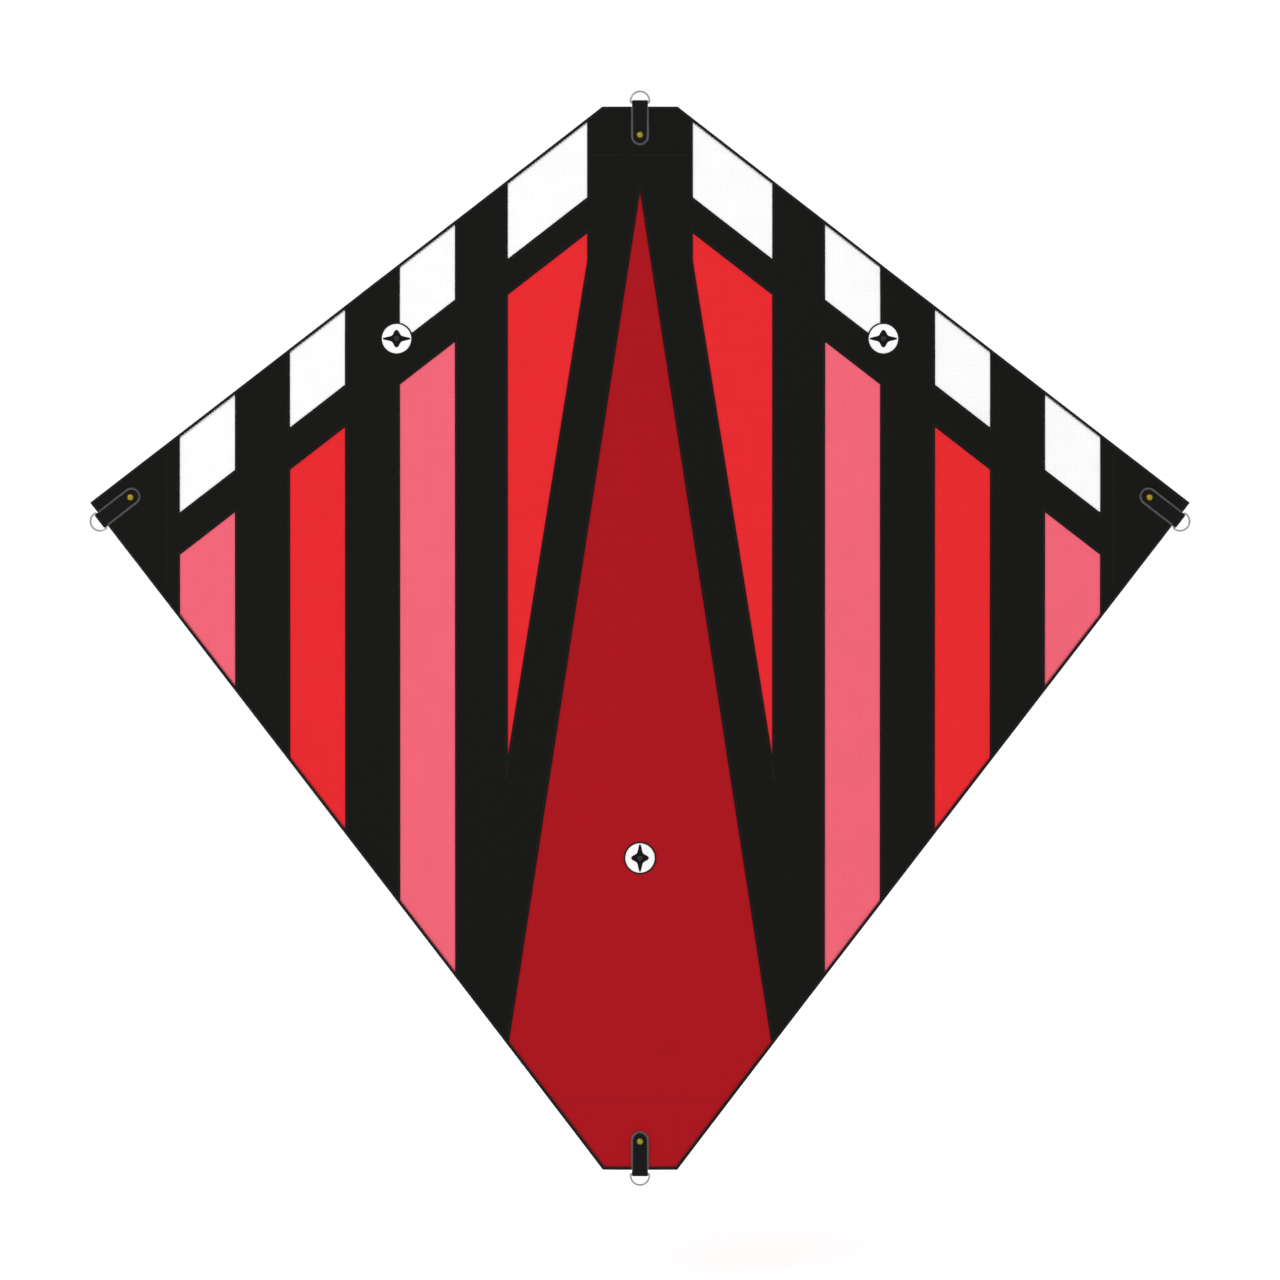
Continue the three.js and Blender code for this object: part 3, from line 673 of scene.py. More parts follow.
class Thread:
    """Collects stitches, each a small rounded bar of thread lying on the cloth."""

    RINGS = ((-1, 0.0), (-0.7, 0.85), (0.7, 0.85), (1, 0.0))  # place along a stitch, and its width
    SIDES = 5
    SHARE = 0.8  # of the pitch that a stitch covers

    def __init__(self):
        self.points, self.faces = [], []

    def stitch(self, a, b, depth, outward, radius=0.22 * MM):
        """One stitch from a to b, both x and z; outward is -1 on the front and 1 on the back."""
        a, b = np.array(a), np.array(b)
        length = np.linalg.norm(b - a)
        if length < 1e-6:
            return
        run = (b - a) / length
        side = np.array([-run[1], run[0]])
        rows = []
        for at, width in self.RINGS:
            centre = (a + b) / 2 + run * at * length / 2
            lift = outward * radius * (0.9 - 0.7 * at * at)
            sides = self.SIDES if width else 1
            rows.append(range(len(self.points), len(self.points) + sides))
            for turn in (2 * math.pi * k / self.SIDES for k in range(sides)):
                spot = centre + side * radius * width * math.cos(turn)
                deep = depth + lift + outward * radius * width * math.sin(turn)
                self.points.append((spot[0], deep, spot[1]))
        for upper, lower in zip(rows, rows[1:]):
            self.faces += bridge(upper, lower)

    def run(self, line, depth, outward, pitch=3.2 * MM, closed=True, radius=0.22 * MM):
        """A row of stitches along a line."""
        loop = [*line, line[0]] if closed else line
        long = travel(loop)[-1]
        count = max(1, round(long / pitch))
        starts, real = np.arange(count), long / count
        from_spots = at_distance(loop, starts * real)
        to_spots = at_distance(loop, (starts + self.SHARE) * real)
        for a, b in zip(from_spots, to_spots):
            self.stitch(a, b, depth, outward, radius)

    def piece(self, name, look, at=None):
        points = hang(self.points) if at is None else self.points
        make(name, (points, self.faces), look, at=at)


# ---- Sail --------------------

SEAM_OUT = 1.8 * MM  # from a window's edge to its seam
PANEL_INSET = 0.9 * MM  # from the sail's edge to a panel's
TURN_IN = 5 * MM  # ground cloth turned back round a window


def seam_of(outline_of, *window):
    return outline_of(*window, SEAM_OUT, RIM + 0.6 * MM)


def panel_of(outline_of, *window):
    return outline_of(*window, OVERLAP, PANEL_INSET)


def side_panels(side, sign):
    """Sews in the panels on one side, and gives their windows and seams."""
    windows, seams = [], []
    for n, window in enumerate(WINDOWS):
        for look, outline_of in (("white", white_outline), (window[3], colour_outline)):
            opening = on_side(outline_of(window, 0, RIM), sign)
            panel = on_side(panel_of(outline_of, window), sign)
            if look == "white" and n == BRIDLE_WINDOW:
                opening = notched(opening, BRIDLES[f"{side}_upper"], BACKING_RADIUS)
            windows.append(opening)
            seams.append(on_side(seam_of(outline_of, window), sign))
            node = f"{side}_{look}_panel_{n + 1}"
            cloth(f"{node}_cloth", panel, layer(1), look, node)
    return windows, seams


def sail():
    """The ground cloth with its windows, the panels behind them, and the seams round them."""
    windows, seams = [], []
    for side, sign in (("left", -1), ("right", 1)):
        some_windows, some_seams = side_panels(side, sign)
        windows += some_windows
        seams += some_seams
    windows.append(spear_outline(0, RIM))
    seams.append(seam_of(spear_outline))
    holes = [rivet_hole(corner) for corner in CORNERS if corner.name != "tail"]
    holes += [cord_hole(name) for name in ("left_upper", "right_upper")]
    outline = sail_outline(0)
    net = area_of(outline) - sum(area_of(w) for w in windows)
    cloth(
        "ground_cloth_ripstop",
        outline,
        layer(0),
        "black",
        "ground_cloth",
        holes=[*windows, *holes],
        area=net + TURN_IN * sum(perimeter(w) for w in windows),
    )
    holes = [rivet_hole(CORNERS[1]), cord_hole("lower")]
    spear = panel_of(spear_outline)
    cloth("crimson_spear_cloth", spear, layer(1), "crimson", "crimson_spear_panel", holes=holes)
    thread = Thread()
    for seam in seams:
        thread.run(seam, 0, -1)
        thread.run(seam, layer(1)[1], 1)
    thread.piece("seam_stitching", "black_thread")


def notched(outline, centre, radius):
    """The outline with a round bite taken out of it where a circle crosses its upright edge."""
    fine = resample(outline, 1.0 * MM)
    centre = np.array(centre)
    bitten = [np.linalg.norm(p - centre) < radius for p in fine]
    first = next(i for i in range(len(fine)) if bitten[i] and not bitten[i - 1])
    rest = (fine[first:] + fine[:first])[sum(bitten) :]
    start, finish = (math.atan2(*(p - centre)[::-1]) for p in (rest[-1], rest[0]))
    turn = (finish - start) % (2 * math.pi)
    half_way = start + turn / 2
    probe = centre + radius * np.array([math.cos(half_way), math.sin(half_way)])
    if not inside([probe], outline)[0]:
        turn -= 2 * math.pi
    angles = [start + turn * i / 24 for i in range(25)]
    arc_points = [centre + radius * np.array([math.cos(a), math.sin(a)]) for a in angles]
    return [*arc_points, *simplify(rest)]


def simplify(points):
    """Drops points in the middle of straight stretches."""
    kept = [points[0]]
    for p, q, r in zip(points, points[1:], points[2:]):
        turn = (q - p)[0] * (r - q)[1] - (q - p)[1] * (r - q)[0]
        if abs(turn) > 1e-10:
            kept.append(q)
    return [*kept, points[-1]]


# ---- Shapes --------------------


def bridge(upper, lower):
    """Faces between two closed rows of points; a row of one point is a tip."""
    faces = []
    count = max(len(upper), len(lower))
    for k in range(count):
        n = (k + 1) % count
        if len(upper) == 1:
            faces.append((upper[0], lower[n], lower[k]))
        elif len(lower) == 1:
            faces.append((upper[k], upper[n], lower[0]))
        else:
            faces.append((upper[k], upper[n], lower[n], lower[k]))
    return faces


def travel(line):
    """The distance along a line to each of its points."""
    steps = np.linalg.norm(np.diff(np.array(line, float), axis=0), axis=1)
    return np.concatenate([[0], np.cumsum(steps)])


def at_distance(line, distances):
    """The points of a line at these distances along it."""
    gone = travel(line)
    return np.stack([np.interp(distances, gone, column) for column in np.array(line).T], axis=1)


def unit(vectors):
    """Vectors brought to a length of 1."""
    return vectors / np.linalg.norm(vectors, axis=-1, keepdims=True)


def arc(centre, radius, start, finish, count):
    """Points on a circle, or an ellipse of two radii, from one angle in degrees to another."""
    (x, y), (wide, high) = centre, np.broadcast_to(radius, 2)
    turns = np.radians(np.linspace(start, finish, count))
    return [(x + wide * math.cos(a), y + high * math.sin(a)) for a in turns]


def moved(shape, place):
    """A shape with each of its points where place puts it."""
    points, faces = shape
    return [place(*p) for p in points], faces


def lathe(profile, sides, loop=False):
    """Turns a line of (distance along x, radius) about the x axis. A loop makes a hollow piece."""
    points, rows = [], []
    turns = [2 * math.pi * i / sides for i in range(sides)]
    for along, radius in profile:
        spokes = [(along, radius * math.cos(a), radius * math.sin(a)) for a in turns]
        if radius < 1e-9:
            spokes = [(along, 0, 0)]
        rows.append(range(len(points), len(points) + len(spokes)))
        points += spokes
    pairs = around(rows) if loop else zip(rows, rows[1:])
    return points, [face for upper, lower in pairs for face in bridge(upper, lower)]


def fillet(line, radius, steps=3, loop=False):
    """Rounds the corners of a line, each by a curve that starts and ends radius away from it."""
    line = [np.array(p, float) for p in line]
    if loop:
        line = [line[-1], *line, line[0]]
    rounded = [] if loop else [line[0]]
    for a, b, c in zip(line, line[1:], line[2:]):
        before, after = np.linalg.norm(a - b), np.linalg.norm(c - b)
        reach = min(radius, 0.45 * before, 0.45 * after)
        p, q = b + (a - b) * reach / before, b + (c - b) * reach / after
        for t in (i / steps for i in range(steps + 1)):
            rounded.append((1 - t) ** 2 * p + 2 * t * (1 - t) * b + t * t * q)
    return rounded if loop else [*rounded, line[-1]]


def spline(points, steps):
    """A smooth line through points."""
    p = np.array(points, float)
    p = np.concatenate([[2 * p[0] - p[1]], p, [2 * p[-1] - p[-2]]])
    line = []
    for a, b, c, d in zip(p, p[1:], p[2:], p[3:]):
        for t in (i / steps for i in range(steps)):
            bend = (2 * a - 5 * b + 4 * c - d) * t**2 + (3 * b - a - 3 * c + d) * t**3
            line.append(0.5 * (2 * b + (c - a) * t + bend))
    return [*line, p[-2]]


def tube(line, radius, sides, strands=0, lay=1.0, ridge=0.0):
    """A round tube along a line. Strands wind round it, one turn in the distance lay, as ridges."""
    line = np.array(line, float)
    radii = np.broadcast_to(np.array(radius, float), len(line))
    tangents = unit(np.gradient(line, axis=0))
    across = unit(np.cross(tangents[0], [0.31, 0.87, 0.38]))
    rows, points = [], []
    for spot, tangent, thick, gone in zip(line, tangents, radii, travel(line)):
        across = unit(across - tangent * np.dot(across, tangent))
        other = np.cross(tangent, across)
        rows.append(range(len(points), len(points) + sides))
        for a in (2 * math.pi * k / sides for k in range(sides)):
            wave = ridge * math.cos(strands * a - 2 * math.pi * gone / lay)
            points.append(spot + (thick + wave) * (math.cos(a) * across + math.sin(a) * other))
    faces = [face for upper, lower in zip(rows, rows[1:]) for face in bridge(upper, lower)]
    points += [line[0], line[-1]]
    faces += bridge([len(points) - 2], rows[0]) + bridge(rows[-1], [len(points) - 1])
    return points, faces


def round_ends(length, radius, chamfer):
    """Places along a rod, and its radius at each, with its two ends slightly rounded."""
    steps = [(0.0, radius - chamfer), (chamfer * 0.3, radius - chamfer * 0.3), (chamfer, radius)]
    return steps + [(length - s, r) for s, r in reversed(steps)]


def slab(middle_points, normals, half):
    """A closed skin round a grid of points, half thick to each side; an edge of no thickness is sharp."""
    grid, push = np.array(middle_points), np.array(normals) * np.array(half)[..., None]
    rows, columns = grid.shape[:2]
    points = np.concatenate([(grid + push).reshape(-1, 3), (grid - push).reshape(-1, 3)])
    size = rows * columns
    faces = []
    for r in range(rows - 1):
        for c in range(columns - 1):
            a, b = r * columns + c, (r + 1) * columns + c
            faces += [(a, a + 1, b + 1, b), (size + a, size + b, size + b + 1, size + a + 1)]
    row = [list(range(r * columns, (r + 1) * columns)) for r in range(rows)]
    rim = row[0] + [r[-1] for r in row[1:]] + row[-1][-2::-1] + [r[0] for r in row[-2:0:-1]]
    faces += [(b, a, size + a, size + b) for a, b in around(rim)]
    return points, faces


def merge(*shapes):
    """Several shapes' points and faces as one."""
    points, faces = [], []
    for some_points, some_faces in shapes:
        faces += [tuple(i + len(points) for i in face) for face in some_faces]
        points += [tuple(p) for p in some_points]
    return points, faces


def fused(name, shape, cutters, look, node):
    """One closed smooth skin round overlapping shapes, with the cutters' space taken out of it."""
    piece = make(name, shape, look, node)
    remesh = piece.modifiers.new("skin", "REMESH")
    remesh.mode, remesh.voxel_size, remesh.use_smooth_shade = "VOXEL", 0.35 * MM, True
    soften = piece.modifiers.new("soften", "SMOOTH")
    soften.factor, soften.iterations = 0.5, 6
    tool = plain_object("cutter", *cutters)
    difference = piece.modifiers.new("bores", "BOOLEAN")
    difference.operation, difference.solver, difference.object = "DIFFERENCE", "EXACT", tool
    evaluated = piece.evaluated_get(bpy.context.evaluated_depsgraph_get())
    finished = bpy.data.meshes.new_from_object(evaluated)
    piece.modifiers.clear()
    piece.data = finished
    finished.name = name
    bpy.data.objects.remove(tool)
    soften_edges(piece, 35)


billow.settle()
sail()

# ---- Hem --------------------


def hem_section(front, back, half):
    """The tape's middle line as (distance inside the sail's edge, depth), and its outline."""
    turn, centre = (back - front) / 2, 0.55 * MM
    line = [(RIM, front), (1.4 * MM, front)]
    line += arc((centre, (front + back) / 2), turn, 270, 90, 9)
    line += [(s * MM, back) for s in (2.2, 4.0, 6.2, 8.4)]
    line = np.array(line)
    run = unit(np.gradient(line, axis=0))
    outward = np.stack([run[:, 1], -run[:, 0]], axis=1)
    thin = np.full((len(line), 1), half)
    thin[[0, -1]] = 0.05 * MM
    return line, np.concatenate([line + outward * thin, (line - outward * thin)[::-1]])


def hem():
    """A binding tape folded round the sail's edge: a narrow leg in front and a wide one behind."""
    front, back, half, step = -0.2 * MM, 1.6 * MM, 0.17 * MM, 9 * MM
    outer_row, inner_row = 1.3 * MM, 7.2 * MM
    line, section = hem_section(front, back, half)
    edge = sail_outline(0)
    parts = [max(2, math.ceil(np.linalg.norm(q - p) / step)) for p, q in around(edge)]
    points, rows = [], []
    for inset, depth in section:
        start = len(points)
        for (p, q), count in zip(around(sail_outline(inset)), parts):
            for x, z in (p + (q - p) * (k / count) for k in range(count)):
                points.append((x, depth, z))
        rows.append(range(start, len(points)))
    faces = [f for a, b in around(rows) for f in bridge(a, b)]
    piece = make("hem_binding", (hang(points), faces), "tape", "edge_hem_tape")
    thread = Thread()
    for inset, depth, outward in (
        (outer_row, front - half, -1),
        (outer_row, back + half, 1),
        (inner_row, back + half, 1),
    ):
        thread.run(sail_outline(inset), depth, outward, pitch=3 * MM)
    thread.piece("hem_stitching", "black_thread")


hem()

# ---- Corners --------------------

WEB_EDGE = WEB_THICK / 2


def frame_at(spot):
    """The frame of a corner or a rod's end: x outward, y depth, and z across."""
    cos, sin = math.cos(spot.angle), math.sin(spot.angle)
    axes = ((cos, 0, -sin, spot.x), (0, 1, 0, FRONT_Y), (sin, 0, cos, spot.z), (0, 0, 0, 1))
    return Matrix(axes)


def edge_thickness(inward):
    """Half the thickness of webbing, this far in from its rounded edge."""
    t = np.clip(np.asarray(inward) / WEB_EDGE, 0, 1)
    return WEB_EDGE * np.sqrt(1 - (1 - t) ** 2)


def tab(corner):
    """Webbing folded into a hairpin, its two ends rounded under the rivet."""
    middle_depth, fold = (TAB_FRONT + TAB_BACK) / 2, (TAB_BACK - TAB_FRONT - WEB_THICK) / 2
    arc_centre = WEB_HALF - TAB_END
    start = [x for x, _ in arc((arc_centre, 0), WEB_HALF, 180, 90, 11)]
    leg = [*start, *np.linspace(arc_centre, corner.bar, 16)[1:-1]]
    path = [(x, middle_depth - fold) for x in leg]
    path += arc((corner.bar, middle_depth), fold, -90, 90, 13)
    path += [(x, middle_depth + fold) for x in reversed(leg)]
    path = np.array(path)
    edges = np.array([0, 0.04, 0.15, 0.3, 0.5, 0.8, 2.0, 4.2]) * MM  # places in from each edge
    narrow = 4.5 * MM  # half a width below which those places move closer together
    dimple_depth, dimple_radius = 0.16 * MM, 4.2 * MM
    grid, normals, half = [], [], []
    for (x, depth), (run_x, run_y) in zip(path, unit(np.gradient(path, axis=0))):
        past = max(arc_centre - x, 0)
        wide = math.sqrt(max(WEB_HALF**2 - past**2, 0))
        inset = edges * min(1, wide / narrow)
        across = np.concatenate([-(wide - inset), [0], (wide - inset)[::-1]])
        dimple = dimple_depth * np.exp(-((np.hypot(x, across) / dimple_radius) ** 4))
        deep = depth + (dimple if depth < middle_depth else -dimple)
        grid.append(np.stack([np.full_like(across, x), deep, across], axis=1))
        normals.append(np.tile([run_y, -run_x, 0], (len(across), 1)))
        half.append(edge_thickness(WEB_HALF - np.hypot(across, past)))
    skin = slab(grid, normals, half)
    name = corner.name
    piece = make(f"{name}_webbing_tab", skin, "webbing", f"{name}_tab", at=frame_at(corner))


def tab_edge(edge_x, offset, count):
    """Points round the tab's outline from one side of the sail's edge to the other, at an offset."""
    wide = WEB_HALF + offset
    line = [(edge_x, -wide), *arc((WEB_HALF - TAB_END, 0), wide, 270, 90, 40), (edge_x, wide)]
    return at_distance(line, np.linspace(0, travel(line)[-1], count))


def tab_stitching(corner):
    """A dense zigzag over the tab's edge on both faces, which holds it down on the sail."""
    short_of_bar = 4.1 * MM if corner.name in ("nose", "tail") else 2.4 * MM
    offsets, count = (-1.0, -0.2, 0.3, 1.0), 171  # in millimetres, and turns of the zigzag
    thread, lift, hem_back = 0.19 * MM, 0.16 * MM, 2.5 * MM
    spots = {o: tab_edge(corner.bar - short_of_bar, o * MM, count) for o in offsets}
    shapes = []
    for face, ground, outward in ((TAB_FRONT, 0, -1), (TAB_BACK, hem_back, 1)):
        rise = lift * outward
        deep = dict(zip(offsets, (face + rise, face + rise, (face + ground) / 2, ground + rise)))
        for i in range(count - 1):
            line = []
            for step, offset in enumerate(offsets if i % 2 else offsets[::-1]):
                x, across = spots[offset][i] + (spots[offset][i + 1] - spots[offset][i]) * step / 3
                line.append((x, deep[offset], across))
            shapes.append(tube(line, thread, 5))
    make(f"{corner.name}_tab_stitching", merge(*shapes), "grey_thread", at=frame_at(corner))


def wire_ring(corner):
    """A D-ring bent from wire, its ends butted in the middle of the straight bar."""
    wire, half, bend, reach, gap = 0.9 * MM, 8.9 * MM, 1.6 * MM, 10.8 * MM, 0.12 * MM
    bar = corner.bar
    line = [(bar, gap), (bar, half / 2)]
    line += arc((bar + bend, half - bend), bend, 180, 90, 9)
    line += arc((bar + reach - half, 0), half, 90, -90, 41)
    line += arc((bar + bend, bend - half), bend, 270, 180, 9)
    line += [(bar, -half / 2), (bar, -gap)]
    radii = np.full(len(line), wire)
    radii[[0, -1]] = wire * 0.88
    ring = tube([(x, RING_DEPTH, across) for x, across in line], radii, 20)
    name, body, place = corner.name, f"{corner.name}_ring", frame_at(corner)
    make(f"{name}_wire_ring", ring, "steel", f"{name}_d_ring", body=body, at=place)


def rivet(corner):
    """A brass rivet: a domed head with a rolled rim in front, a turned-over tail behind."""
    head, rim, edge = 3 * MM, 0.35 * MM, 0.3 * MM
    base, top = TAB_FRONT + 0.12 * MM, TAB_FRONT - 1.8 * MM
    front = [(base, 0), (base, head - edge)]
    front += arc((base - rim / 2, head - edge), (rim / 2, edge), 0, 180, 7)[1:]
    front += arc((base - rim, 0), (base - rim - top, head - 0.25 * MM), 90, 180, 14)[1:]
    tail_base, out, roll, lift = TAB_BACK - 0.15 * MM, 2.6 * MM, 0.5 * MM, 0.35 * MM
    back = [(tail_base, 0), (tail_base, out - 0.1 * MM), (tail_base + lift, out)]
    back += [
        (tail_base + lift + roll * math.sin(a), out - roll + roll * math.cos(a))
        for a in np.linspace(0.3, math.pi - 0.2, 8)
    ]
    back += [(tail_base + 0.2 * MM, 1.2 * MM), (tail_base + 0.15 * MM, 0)]
    turned = merge(lathe(front, 36), lathe(back, 36))
    shape = moved(turned, lambda x, y, z: (y, x, z))
    name = corner.name
    make(f"{name}_set_rivet", shape, "brass", f"{name}_rivet", at=frame_at(corner))


# Each patch's inner edge: the direction across it, and how far along that direction it lies.
PATCH_CUTS = {
    "nose": (np.array([0.0, -1.0]), 48 * MM - NOSE_Z),
    "tail": (np.array([0.0, 1.0]), TAIL_Z + 68 * MM),
    "left_wing": (np.array([1.0, 0.0]), 74 * MM - TIP_X),
    "right_wing": (np.array([-1.0, 0.0]), 74 * MM - TIP_X),
}
PATCH_DEPTH = 1.25 * MM
PATCH_RISE = 0.8 * MM  # further back where it lies over the hem and under the tab


def corner_patch(corner):
    """Cloth inside a corner, lying over the hem and under the tab, and close to the sail elsewhere."""

    def raised(x, z):
        along, across = corner.local(x, z)
        past = np.hypot(np.maximum(-TAB_END - along, 0), np.maximum(np.abs(across) - WEB_HALF, 0))
        over_hem = 1 - smoothstep(edge_distance(x, z), 8.5 * MM, 12 * MM)
        under_tab = 1 - smoothstep(past, 1 * MM, 7 * MM)
        return PATCH_DEPTH + PATCH_RISE * np.maximum(over_hem, under_tab)

    name = corner.name
    outline = clip(sail_outline(3 * MM), *PATCH_CUTS[name])
    options = {"holes": [rivet_hole(corner)], "step": 2.5 * MM, "raised": raised}
    depths = (0.0, CLOTH)
    cloth(f"{name}_patch_cloth", outline, depths, "black", f"{name}_corner_patch", **options)


def patch_stitching(corner):
    """A row of stitches along a patch's inner edge, seen on both faces of the sail."""
    side_inset, cut_inset, clear_of_white = 9.5 * MM, 2.5 * MM, 4 * MM
    normal, reach = PATCH_CUTS[corner.name]
    reach = reach - cut_inset

    def on_cut(p):
        return abs(np.dot(normal, p) - reach) < 1e-6

    row = clip(sail_outline(side_inset), normal, reach)
    ends = next([p, q] for p, q in around(row) if on_cut(p) and on_cut(q))
    if corner.name == "nose":
        limit = WINDOWS[0][0] - clear_of_white
        ends = [np.array([np.clip(x, -limit, limit), z]) for x, z in ends]
    front_look = "crimson_thread" if corner.name == "tail" else "black_thread"
    for name, look, depth, outward in (
        ("top_stitching", front_look, 0, -1),
        ("stitching", "black_thread", PATCH_DEPTH + CLOTH, 1),
    ):
        thread = Thread()
        thread.run(ends, depth, outward, closed=False)
        thread.piece(f"{corner.name}_patch_{name}", look)


class RodEnd:
    """The end of a rod at a corner: its own frame has x outward along the rod."""

    def __init__(self, corner):
        spine = corner.name in ("nose", "tail")
        reach = 22.7 * MM
        self.name = corner.name
        self.x = corner.x + reach * math.cos(corner.angle)
        self.z = corner.z + reach * math.sin(corner.angle)
        down = {"left_wing": math.pi + BOW_END_ANGLE, "right_wing": -BOW_END_ANGLE}
        self.angle = down.get(corner.name, corner.angle)
        self.rod = SPINE_RADIUS if spine else BOW_RADIUS
        self.depth = SPINE_DEPTH if spine else BOW_TIP_DEPTH


def end_cap(end):
    """A moulded cap over the rod's end, with grip rings round it."""
    inner, outer = end.rod + 0.05 * MM, end.rod + 1.1 * MM
    open_end, closed_end = -14.2 * MM, 1.8 * MM
    groove, bevel = 0.3 * MM, 1 * MM
    line = [(0.1 * MM, 0), (0.1 * MM, inner), (open_end, inner), (open_end, outer)]
    for i in range(3):
        x = open_end + (1.6 + 1.3 * i) * MM
        line += [(x, outer), (x + 0.15 * MM, outer - groove), (x + 0.65 * MM, outer - groove)]
        line += [(x + 0.8 * MM, outer)]
    line += [(closed_end - bevel, outer), (closed_end, outer - bevel), (closed_end, 0)]
    shape = moved(lathe(fillet(line, 0.25 * MM), 32), lambda x, y, z: (x, end.depth + y, z))
    name = end.name
    make(f"{name}_moulded_cap", shape, "plastic", f"{name}_end_cap", at=frame_at(end), sharp=50)


POCKET_START, POCKET_END = -16 * MM, 3.1 * MM  # along the rod, from its end
POCKET_SEAT = SEAT + 0.35 * MM


def pocket_skin(end):
    """The pocket's middle surface as a grid, its half thickness, and the length across it."""
    arch, fold = end.rod + 1.9 * MM, 2.3 * MM
    profile = [(-WEB_HALF, POCKET_SEAT), (-arch, POCKET_SEAT), (-arch, end.depth)]
    profile += arc((0, end.depth), arch, 180, 0, 15)[1:-1]
    profile += [(arch, end.depth), (arch, POCKET_SEAT), (WEB_HALF, POCKET_SEAT)]
    profile = fillet(profile, 0.9 * MM)
    wide, bare = travel(profile)[-1], 0.9 * MM
    inset = np.array([0, 0.04, 0.15, 0.3, 0.5]) * MM
    stations = np.concatenate([inset, np.linspace(bare, wide - bare, 44), wide - inset[::-1]])
    across, depth = at_distance(profile, stations).T
    bend = POCKET_END - fold
    xs = np.concatenate([POCKET_START + inset, np.linspace(POCKET_START + 1 * MM, bend, 12)])
    xs = np.concatenate([xs, bend + fold * np.sin(np.linspace(0.12, 0.93, 9) * math.pi / 2)])
    grid = []
    for x in xs:
        height = math.sqrt(max(0.0, 1 - max(0.0, (x - bend) / fold) ** 2))
        deep = POCKET_SEAT + (depth - POCKET_SEAT) * height
        grid.append(np.stack([np.full_like(across, x), deep, across], axis=1))
    from_side = np.minimum(stations, wide - stations)
    from_end = np.minimum(xs - POCKET_START, WEB_THICK)
    half = edge_thickness(np.minimum(from_side[None], from_end[:, None]))
    return np.array(grid), half, float(wide)


def pocket(end):
    """Webbing arched over the cap, folded down past its end and sewn along both sides."""
    grid, half, wide = pocket_skin(end)
    skin = slab(grid, unit(np.cross(np.gradient(grid, axis=1), np.gradient(grid, axis=0))), half)
    name = end.name
    piece = make(f"{name}_pocket_webbing", skin, "webbing", f"{name}_spar_pocket", at=frame_at(end))
    thread = Thread()
    top = POCKET_SEAT + WEB_EDGE
    first, last = POCKET_START + 0.8 * MM, POCKET_END - 0.8 * MM
    rows, bars, bar_pitch, slant = (6.7 * MM, 5.9 * MM), 9, 0.35 * MM, 0.15 * MM
    for side in (-1, 1):
        for row in rows:
            thread.run([(first, side * row), (last, side * row)], top, 1, 2.2 * MM, closed=False)
        for k in range(bars):
            x = POCKET_START + 0.7 * MM + bar_pitch * k
            inner, outer = (x, side * 5.7 * MM), (x + slant, side * 7.0 * MM)
            thread.stitch(inner, outer, top + 0.15 * MM, 1)
    thread.piece(f"{name}_pocket_stitching", "grey_thread", at=frame_at(end))


for corner in CORNERS:
    tab(corner)
    tab_stitching(corner)
    wire_ring(corner)
    rivet(corner)
    corner_patch(corner)
    patch_stitching(corner)
    rod_end = RodEnd(corner)
    end_cap(rod_end)
    pocket(rod_end)

# ---- Spars --------------------


class Bow:
    """The bent cross spar: an elastica in the plane of the sail, standing back from it in the middle."""

    def __init__(self):
        end = RodEnd(CORNERS[3])
        self.end_x = end.x
        self.k = math.sin(BOW_END_ANGLE / 2)
        table = np.linspace(0, math.pi / 2, 400)
        d = np.sqrt(1 - (self.k * np.sin(table)) ** 2)
        slope = 2 * d - 1 / d
        total = np.concatenate([[0], np.cumsum((slope[1:] + slope[:-1]) / 2 * np.diff(table))])
        self.scale = end.x / total[-1]
        self.table, self.total = table, total * self.scale

    def at(self, x):
        """The point of the bow at x."""
        phi = np.interp(abs(x), self.total, self.table)
        z = 2 * self.k * self.scale * (math.cos(phi) - 1)
        rise = (1 - (x / self.end_x) ** 2) ** 2
        return np.array([x, FRONT_Y + BOW_TIP_DEPTH + (BOW_DEPTH - BOW_TIP_DEPTH) * rise, z])

    def slope(self, x):
        """The bow's angle in the plane of the sail, from +X towards +Z."""
        run = self.at(x + 1 * MM) - self.at(x - 1 * MM)
        return math.atan2(run[2], run[0])


BOW = Bow()


def spine():
    """The spine's two rods, end to end in a sleeve."""
    joint_z, play = NOSE_Z - 502 * MM, 0.1 * MM

    def upright(shape, z):
        return moved(shape, lambda a, b, c: (b, FRONT_Y + SPINE_DEPTH + c, z + a))

    nose_end, tail_end = RodEnd(CORNERS[0]).z, RodEnd(CORNERS[1]).z
    for name, bottom, top in (
        ("upper_spine", joint_z + play, nose_end),
        ("lower_spine", tail_end, joint_z - play),
    ):
        ends = round_ends(top - bottom, SPINE_RADIUS, 0.5 * MM)
        rod = upright(lathe([(0, 0), *ends, (top - bottom, 0)], 32), bottom)
        make(f"{name}_glass_rod", rod, "rod", f"{name}_rod", sharp=60)
    tube_shape = upright(sleeve(25 * MM, SPINE_RADIUS), joint_z)
    make("spine_sleeve", tube_shape, "aluminium", "spine_ferrule", sharp=50)


